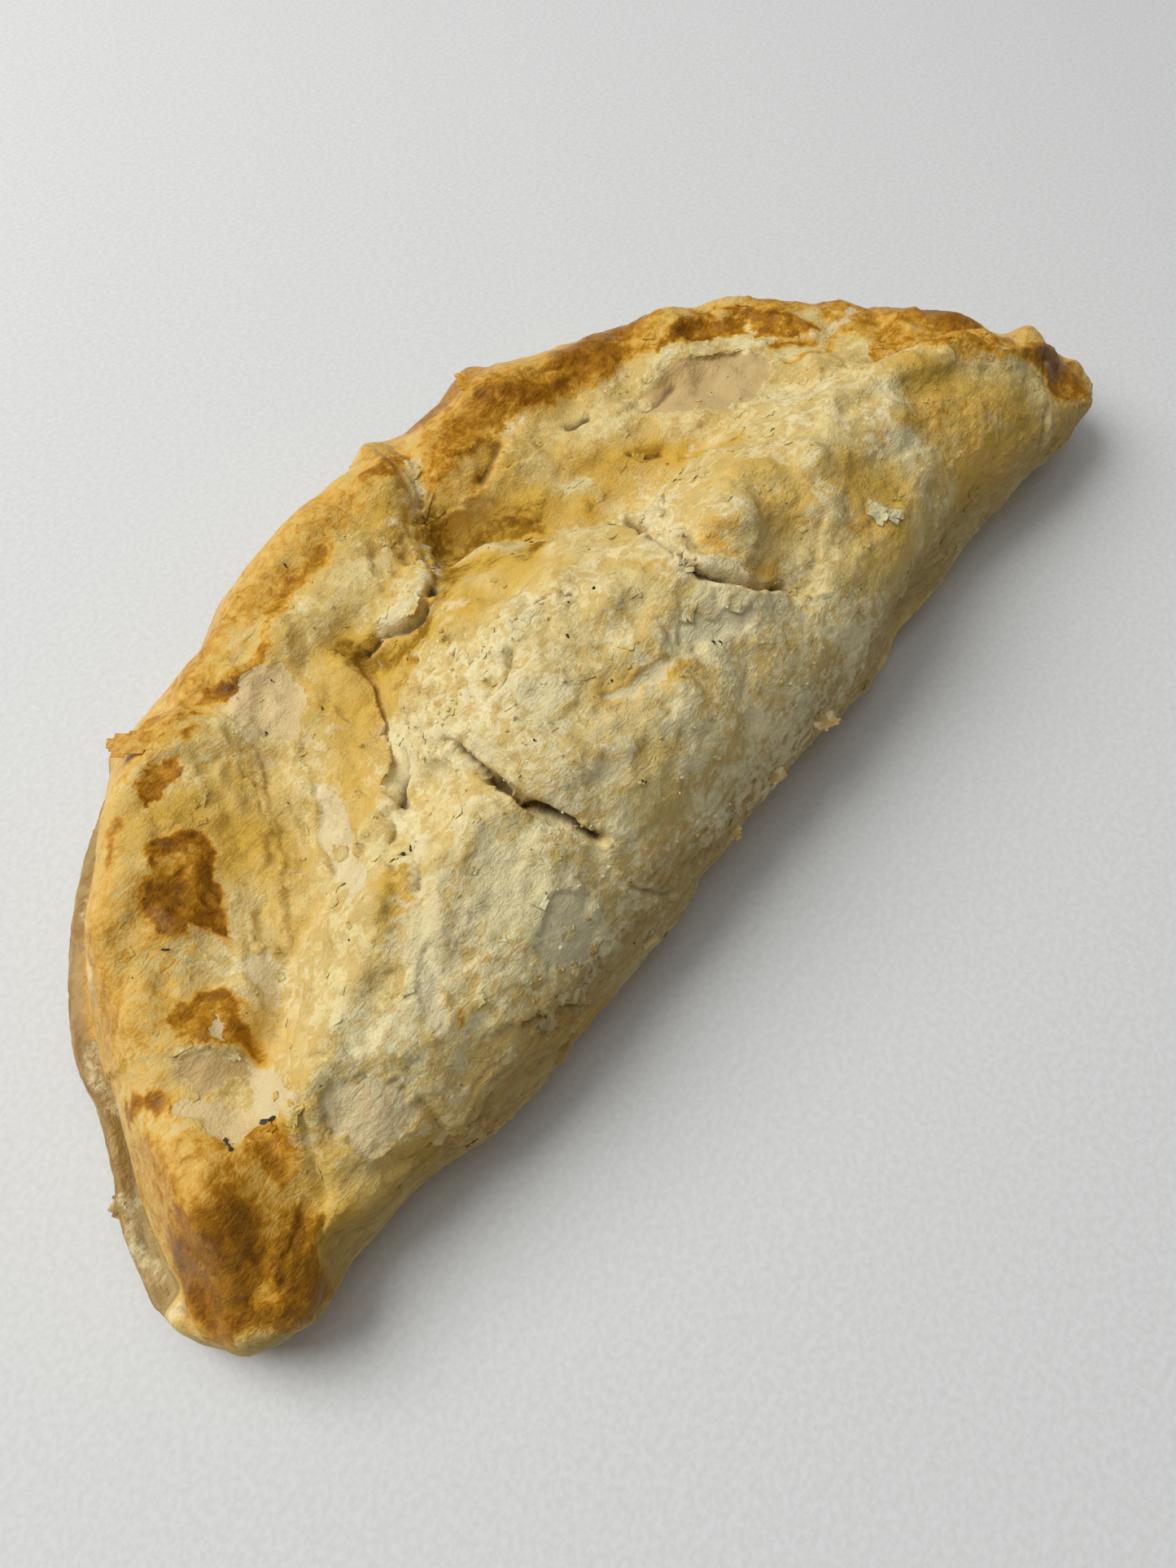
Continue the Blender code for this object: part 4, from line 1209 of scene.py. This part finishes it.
def make_crust_finish():
    """The finish shared by the crust and its flakes."""
    finish, tree, shader = new_finish("crust_finish", 0.8)
    for name, value in DOUGH_SETTINGS.items():
        shader.inputs[name].default_value = value
    place = add(tree, "TexCoord").outputs["Object"]
    read = {name: reading(tree, name) for name in FIELDS}
    scales = grain(tree, place, 6.0, 4.0, 0.55, 0.6)
    fine = grain(tree, place, 1.6, 5.0, 0.62, 0.5)
    dust = grain(tree, place, 0.35, 3.0, 0.6)
    fibres = grain(tree, stretch(tree, place, (0.45, 1.0, 1.0)), 0.9, 3.0, 0.5, 1.2)

    raw = dough_colour(tree, read, fine, scales)
    baked = baked_colour(tree, read, raw, fine, fibres)
    layered = layered_colour(tree, read, baked, place)
    peeled = peeled_colour(tree, read, layered, fine)
    tree.links.new(dusted_colour(tree, read, peeled, fine, place), shader.inputs["Base Color"])

    uneven_gloss = number(tree, "ADD", read["gloss"], slope(tree, fine, 0.3, 0.7, -0.2, 0.2))
    tree.links.new(slope(tree, uneven_gloss, 0.1, 1.0, 0.84, 0.34), shader.inputs["Roughness"])
    heights = (levels_of(tree, scales, SCALE_LEVELS), levels_of(tree, fine, FINE_LEVELS), fibres, dust)
    tree.links.new(fine_relief(tree, read, heights), shader.inputs["Normal"])
    return finish


crust_finish = make_crust_finish()
crust_mesh.materials.append(crust_finish)
print("the crust's finish has", len(crust_finish.node_tree.nodes), "nodes")

# %% [markdown]
# Some sheets have come loose at one end. Each is a small grid whose corners are cut away along a ragged
# outline. It is laid on the crust point by point, lifted towards one end, and given the thickness of a
# baked sheet. A drawn flake goes from the pixel where it is held to the pixel of its free end. Then
# come its width and lift in mm, and how free it is: 0 follows the crust, 1 stands off it.

# %% One torn flake
CRUST = surface_tree(crust_mesh)
FLAKE_THICKNESS = 0.2
FLAKE_CELL = 0.45
FLAKE_GAP = 0.12
FLAKE_WAVE = 0.12
STANDS_FREE = 0.6


def lay_flake(shape, held, free_end, width, lift, free, draw):
    """Adds one torn flake to the shape, from the place where it is held to its free end, all in mm."""
    run = free_end - held
    length = run.length
    along = run.normalized()
    outwards = Vector((0, 0, 1)) if free > STANDS_FREE else SOLID.find_nearest(held)[1]
    up = (outwards - along * outwards.dot(along)).normalized()
    across = up.cross(along)
    cells_long, cells_wide = max(4, round(length / FLAKE_CELL)), max(3, round(width / FLAKE_CELL))
    made = bmesh.ops.create_grid(shape, x_segments=cells_long, y_segments=cells_wide, size=1.0)["verts"]
    lobes = draw.uniform(0, 2 * math.pi, 3)
    cut_away = []
    for vertex in made:
        angle = math.atan2(vertex.co.y, vertex.co.x)
        edge = 0.92 + 0.10 * math.sin(2 * angle + lobes[0]) + 0.09 * math.sin(5 * angle + lobes[1])
        edge += 0.07 * math.sin(9 * angle + lobes[2]) + draw.uniform(-0.05, 0.05)
        if (abs(vertex.co.x) ** 3 + abs(vertex.co.y) ** 3) ** (1 / 3) > edge:
            cut_away.append(vertex)
    bmesh.ops.delete(shape, geom=cut_away, context="VERTS")
    kept = [vertex for vertex in made if vertex.is_valid]
    for vertex in kept:
        share, sideways = (vertex.co.x + 1) / 2, vertex.co.y
        flat = held + along * share * length + across * sideways * width / 2
        ground, outwards = CRUST.find_nearest(flat)[:2]
        wave = FLAKE_WAVE * math.sin(3.1 * sideways + lobes[0] + 4 * share)
        laid = ground + outwards * FLAKE_GAP + up * (lift * share ** 1.7 + wave * share)
        loose = min(1.0, free * share * 2.2)
        spot = laid.lerp(flat + up * (lift * share ** 2 + wave), loose)
        spot.z = max(spot.z, 2 * FLAKE_THICKNESS)
        vertex.co = spot * MM
    faces = list({face for vertex in kept for face in vertex.link_faces})
    bmesh.ops.solidify(shape, geom=faces, thickness=FLAKE_THICKNESS * MM)


# %% [markdown]
# The large loose flakes are drawn: the flake that sticks out of the left rim, the lips along the fold,
# the sheets round the peel on the far side. The small ones come later, mostly over the dull mound and
# the fold, because the egg glaze holds the crimp together.

# %% The large loose flakes
DRAWN_FLAKES = {
    "left rim": ((202, 912), (125, 916), 4.2, 0.6, 1.0),
    "left rim, second": ((218, 912), (160, 922), 3.0, 0.4, 0.4),
    "fold lip": ((1010, 870), (1020, 897), 5.0, 0.1, 0.8),
    "fold tooth": ((950, 944), (962, 962), 3.4, 0.1, 0.8),
    "fold tooth, second": ((896, 1012), (910, 1030), 3.0, 0.1, 0.8),
    "fold tooth, third": ((790, 1142), (806, 1162), 3.8, 0.1, 0.8),
    "golden corner": ((488, 572), (430, 572), 3.4, 0.1, 0.8),
    "corner of the rim": ((575, 480), (562, 456), 2.6, 0.1, 0.8),
    "far sheet": ((836, 430), (786, 478), 2.4, 0.7, 0.3),
    "far strip": ((842, 436), (918, 426), 1.6, 0.4, 0.2),
    "torn strip": ((1017, 407), (1057, 374), 1.9, 0.3, 0.1),
    "upper cushion": ((694, 603), (718, 589), 1.6, 0.3, 0.1),
    "by the fold": ((700, 1215), (660, 1250), 4.0, 0.9, 0.2),
    "by the fold, second": ((740, 1190), (730, 1228), 3.6, 0.8, 0.2),
    "middle crack": ((660, 760), (636, 752), 4.0, 0.8, 0.2),
    "middle peel": ((850, 735), (842, 768), 2.6, 0.6, 0.1),
    "middle peel, second": ((905, 735), (900, 756), 3.0, 0.5, 0.1),
    "low peel": ((650, 1100), (676, 1112), 2.6, 0.5, 0.1),
    "low peel, second": ((742, 1120), (722, 1122), 2.6, 0.5, 0.1),
    "lip tatter": ((500, 700), (533, 712), 4.0, 0.5, 0.5),
    "lip tatter, second": ((500, 735), (516, 750), 4.0, 0.4, 0.5),
    "lip tatter, third": ((470, 745), (458, 770), 4.6, 0.4, 0.5),
    "tear tatter": ((498, 600), (516, 572), 2.0, 0.9, 0.3),
    "tear tatter, second": ((520, 640), (530, 600), 1.8, 0.7, 0.3),
    "near end lip": ((240, 1280), (206, 1300), 1.6, 0.4, 0.2),
    "near end lip, second": ((268, 1284), (300, 1302), 1.6, 0.4, 0.2),
    "left lower tooth": ((150, 1470), (138, 1500), 3.0, 0.2, 0.8),
    "left lower tooth, second": ((205, 1585), (190, 1600), 3.0, 0.2, 0.8),
}

# %% [markdown]
# Each small thing becomes a piece of its own in the same way. A piece that shares the crust's finish
# also takes over the crust's numbers from its nearest points, so a flake has the colour of its place.

# %% From a shape to a finished piece
def new_piece(name, shape, finish):
    """A finished piece on the pasty, made from a bmesh."""
    bmesh.ops.recalc_face_normals(shape, faces=shape.faces)
    mesh = bpy.data.meshes.new(name)
    shape.to_mesh(mesh)
    shape.free()
    mesh.materials.append(finish)
    piece = bpy.data.objects.new(name, mesh)
    bpy.context.collection.objects.link(piece)
    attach(piece, "root")
    print(name, "has", triangles(mesh), "triangles")
    return piece


def take_over_fields(piece, changes):
    """Gives a piece the crust's numbers at its nearest points, with some of them changed."""
    nearest = kdtree.KDTree(len(crust_mesh.vertices))
    for index, vertex in enumerate(crust_mesh.vertices):
        nearest.insert(vertex.co, index)
    nearest.balance()
    rows = np.array([nearest.find(vertex.co)[1] for vertex in piece.data.vertices])
    for name in FIELDS:
        values = numbers(crust_mesh.attributes[name].data, "value", 1)[rows, 0]
        layer = piece.data.attributes.new(name, "FLOAT", "POINT")
        layer.data.foreach_set("value", changes.get(name, lambda old: old)(values).astype(np.float32))


# %% [markdown]
# The drawn flakes are laid first and the small ones after them. Where the small ones go is drawn by
# lot, and a dull place that faces up is drawn more often than a glazed or a steep one.

# %% Lay the flakes
STREWN = 240
LEAST_LIFT, MOST_LIFT = 0.03, 0.2

draw = np.random.default_rng(SEED + 2)
shape = bmesh.new()
for held, free_end, width, lift, free in DRAWN_FLAKES.values():
    start = on_crust(held)
    end = pixel_on_level(free_end, start.z - 1.0) if free > STANDS_FREE else on_crust(free_end)
    lay_flake(shape, start, end, width, lift, free, draw)

places = numbers(crust_mesh.vertices, "co") / MM
facing = numbers(crust_mesh.vertex_normals, "vector")
dull = 1 - numbers(crust_mesh.attributes["gloss"].data, "value", 1)[:, 0]
wanted = np.clip(dull - 0.3, 0.02, 1) * smooth(-0.2, 0.3, facing[:, 2]) * smooth(1.5, 5.0, places[:, 2])
for index in draw.choice(len(places), STREWN, p=wanted / wanted.sum()):
    start = Vector(places[index])
    size = draw.uniform(1.0, 2.6) ** 1.3
    turn = draw.uniform(0, 2 * math.pi)
    flat = Vector((math.cos(turn), math.sin(turn), 0.0)) * size
    end = start + flat - Vector(facing[index]) * flat.dot(Vector(facing[index]))
    width, lift = size * draw.uniform(0.6, 1.1), draw.uniform(LEAST_LIFT, MOST_LIFT)
    lay_flake(shape, start, end, width, lift, 0.0, draw)
flakes = new_piece("flakes", shape, crust_finish)
take_over_fields(flakes, {"crevice_shade": lambda old: old * 0, "peel": lambda old: old * 0.3})

# %% [markdown]
# One white flake lies loose on the far shoulder. It is made like the others but stays plain and floury.

# %% The loose white flake
LOOSE_FLAKE = (((1064, 618), (1092, 638), 3.4), ((1080, 626), (1110, 636), 2.4),
               ((1086, 628), (1104, 646), 2.0))
LOOSE_LIFT = 0.5

shape = bmesh.new()
for held, free_end, width in LOOSE_FLAKE:
    lay_flake(shape, on_crust(held), on_crust(free_end), width, LOOSE_LIFT, 0.0, draw)
loose_flake = new_piece("loose_flake", shape, crust_finish)
take_over_fields(loose_flake, {"floury": lambda old: old * 0 + MOST_OF_A_FIELD, "toast_and_shade": lambda old: old * 0,
                               "butter_and_shade": lambda old: old * 0, "crevice_shade": lambda old: old * 0})

# %% [markdown]
# Crumbs have gathered in the vents and on the mound, and a few black specks of pepper show through. A
# row of crumbs has its line, its spread in mm, their number and their size in mm. A speck of pepper
# has its two ends and its size in mm.

# %% Where crumbs and pepper lie
CRUMB_SPOTS = {
    "right vent": (((832, 676), (842, 690), (850, 696)), 1.2, 9, 1.3),
    "vent end": (((955, 720), (985, 728)), 1.4, 8, 0.8),
    "beside the lump": (((806, 610), (818, 650), (840, 680)), 2.0, 14, 0.7),
    "left vent": (((560, 930), (640, 990), (720, 1025)), 1.6, 18, 0.5),
    "crumbly ground": (((520, 880), (560, 830), (600, 800)), 9.0, 60, 0.8),
    "white tear": (((500, 590), (515, 650), (490, 740)), 3.0, 16, 0.6),
    "mound": (((560, 1000), (700, 900), (900, 850)), 22.0, 60, 0.5),
    "fold": (((640, 1200), (820, 1000), (1000, 820)), 9.0, 40, 0.5),
}
PEPPER = {
    "near end": ((322, 1380), (336, 1373), 0.9), "near end, second": ((275, 1405), (284, 1414), 0.8),
    "small, blotch": ((199, 1167), (207, 1167), 0.35), "middle": ((697, 781), (698, 784), 0.6),
    "low middle": ((786, 960), (788, 961), 0.6), "middle, second": ((751, 835), (752, 836), 0.4),
    "middle, third": ((729, 723), (730, 725), 0.5), "middle, fourth": ((656, 911), (657, 912), 0.35),
    "notch": ((494, 1041), (497, 1045), 0.7), "rim": ((350, 693), (352, 696), 0.5),
    "peel": ((334, 833), (336, 835), 0.35), "peel, second": ((326, 899), (328, 902), 0.35),
    "valley": ((430, 1155), (432, 1156), 0.3), "apron": ((395, 872), (396, 874), 0.35),
    "upper": ((663, 545), (664, 546), 0.3), "far": ((761, 483), (762, 484), 0.3),
    "grey hole": ((878, 785), (886, 789), 0.5), "fold": ((860, 1148), (862, 1150), 0.4),
}

# %% [markdown]
# A crumb is the smallest ball that Blender makes, knocked out of shape, squashed and turned, so that no
# two are alike. It has only twenty faces, which is plenty for half a millimetre.

# %% One crumb
FULL_TURN = 6.28


def drop_crumb(shape, place, size, draw):
    """Adds one crumb of about size mm, with its middle at a place in mm."""
    made = bmesh.ops.create_icosphere(shape, subdivisions=1, radius=size / 2 * MM)["verts"]
    for vertex in made:
        vertex.co *= draw.uniform(0.6, 1.2)
    squash = Matrix.Diagonal((draw.uniform(0.8, 1.3), draw.uniform(0.6, 1.0), draw.uniform(0.5, 0.9), 1.0))
    turn = Matrix.Rotation(draw.uniform(0, FULL_TURN), 4, "Z")
    bmesh.ops.transform(shape, matrix=Matrix.Translation(place * MM) @ turn @ squash, verts=made)


# %% [markdown]
# The crumbs are scattered about their lines, and each is then put on the nearest place of the crust.
# They are as floury as the crust round them or more, and less baked.

# %% Scatter the crumbs
CRUMB_GAP = 0.1
LEAST_FLOUR = 0.35

shape = bmesh.new()
for pixels, spread, count, size in CRUMB_SPOTS.values():
    line = trail(pixels)
    for crumb in range(count):
        share = draw.uniform(0, len(line) - 1.001)
        start = line[int(share)] * (1 - share % 1) + line[int(share) + 1] * (share % 1)
        near = Vector(start + draw.normal(0, spread / 2, 3))
        place, outwards = CRUST.find_nearest(near)[:2]
        width = size * draw.uniform(0.5, 1.5)
        place = place + outwards * CRUMB_GAP
        place.z = max(place.z, 0.7 * width)
        drop_crumb(shape, place, width, draw)
crumbs = new_piece("crumbs", shape, crust_finish)
take_over_fields(crumbs, {"floury": lambda old: np.maximum(old, LEAST_FLOUR), "toast_and_shade": lambda old: old * 0.5,
                          "crevice_shade": lambda old: old * 0})

# %% [markdown]
# Pepper is the one thing with a finish of its own, nearly black with some brown. A long speck is a row
# of grains between its two ends, and a few dozen finer grains are drawn by lot.

# %% Pepper
FINE_SPECKS = 46
SPECK_GAP = 0.05
PEPPER_DARK, PEPPER_BROWN = colour(26, 22, 14), colour(66, 50, 30)

pepper_finish, tree, shader = new_finish("pepper_finish", 0.6)
place = add(tree, "TexCoord").outputs["Object"]
dark = blend(tree, grain(tree, place, 0.4), PEPPER_DARK, PEPPER_BROWN)
tree.links.new(dark, shader.inputs["Base Color"])
shape = bmesh.new()
for first, last, size in PEPPER.values():
    start, end = on_crust(first), on_crust(last)
    for share in np.linspace(0, 1, max(2, round((end - start).length / (0.3 * size)))):
        place, outwards = CRUST.find_nearest(start.lerp(end, share))[:2]
        drop_crumb(shape, place + outwards * SPECK_GAP, size * draw.uniform(0.7, 1.1), draw)
for index in draw.choice(len(places), FINE_SPECKS, p=wanted / wanted.sum()):
    drop_crumb(shape, Vector(places[index]), draw.uniform(0.2, 0.38), draw)
new_piece("pepper", shape, pepper_finish)
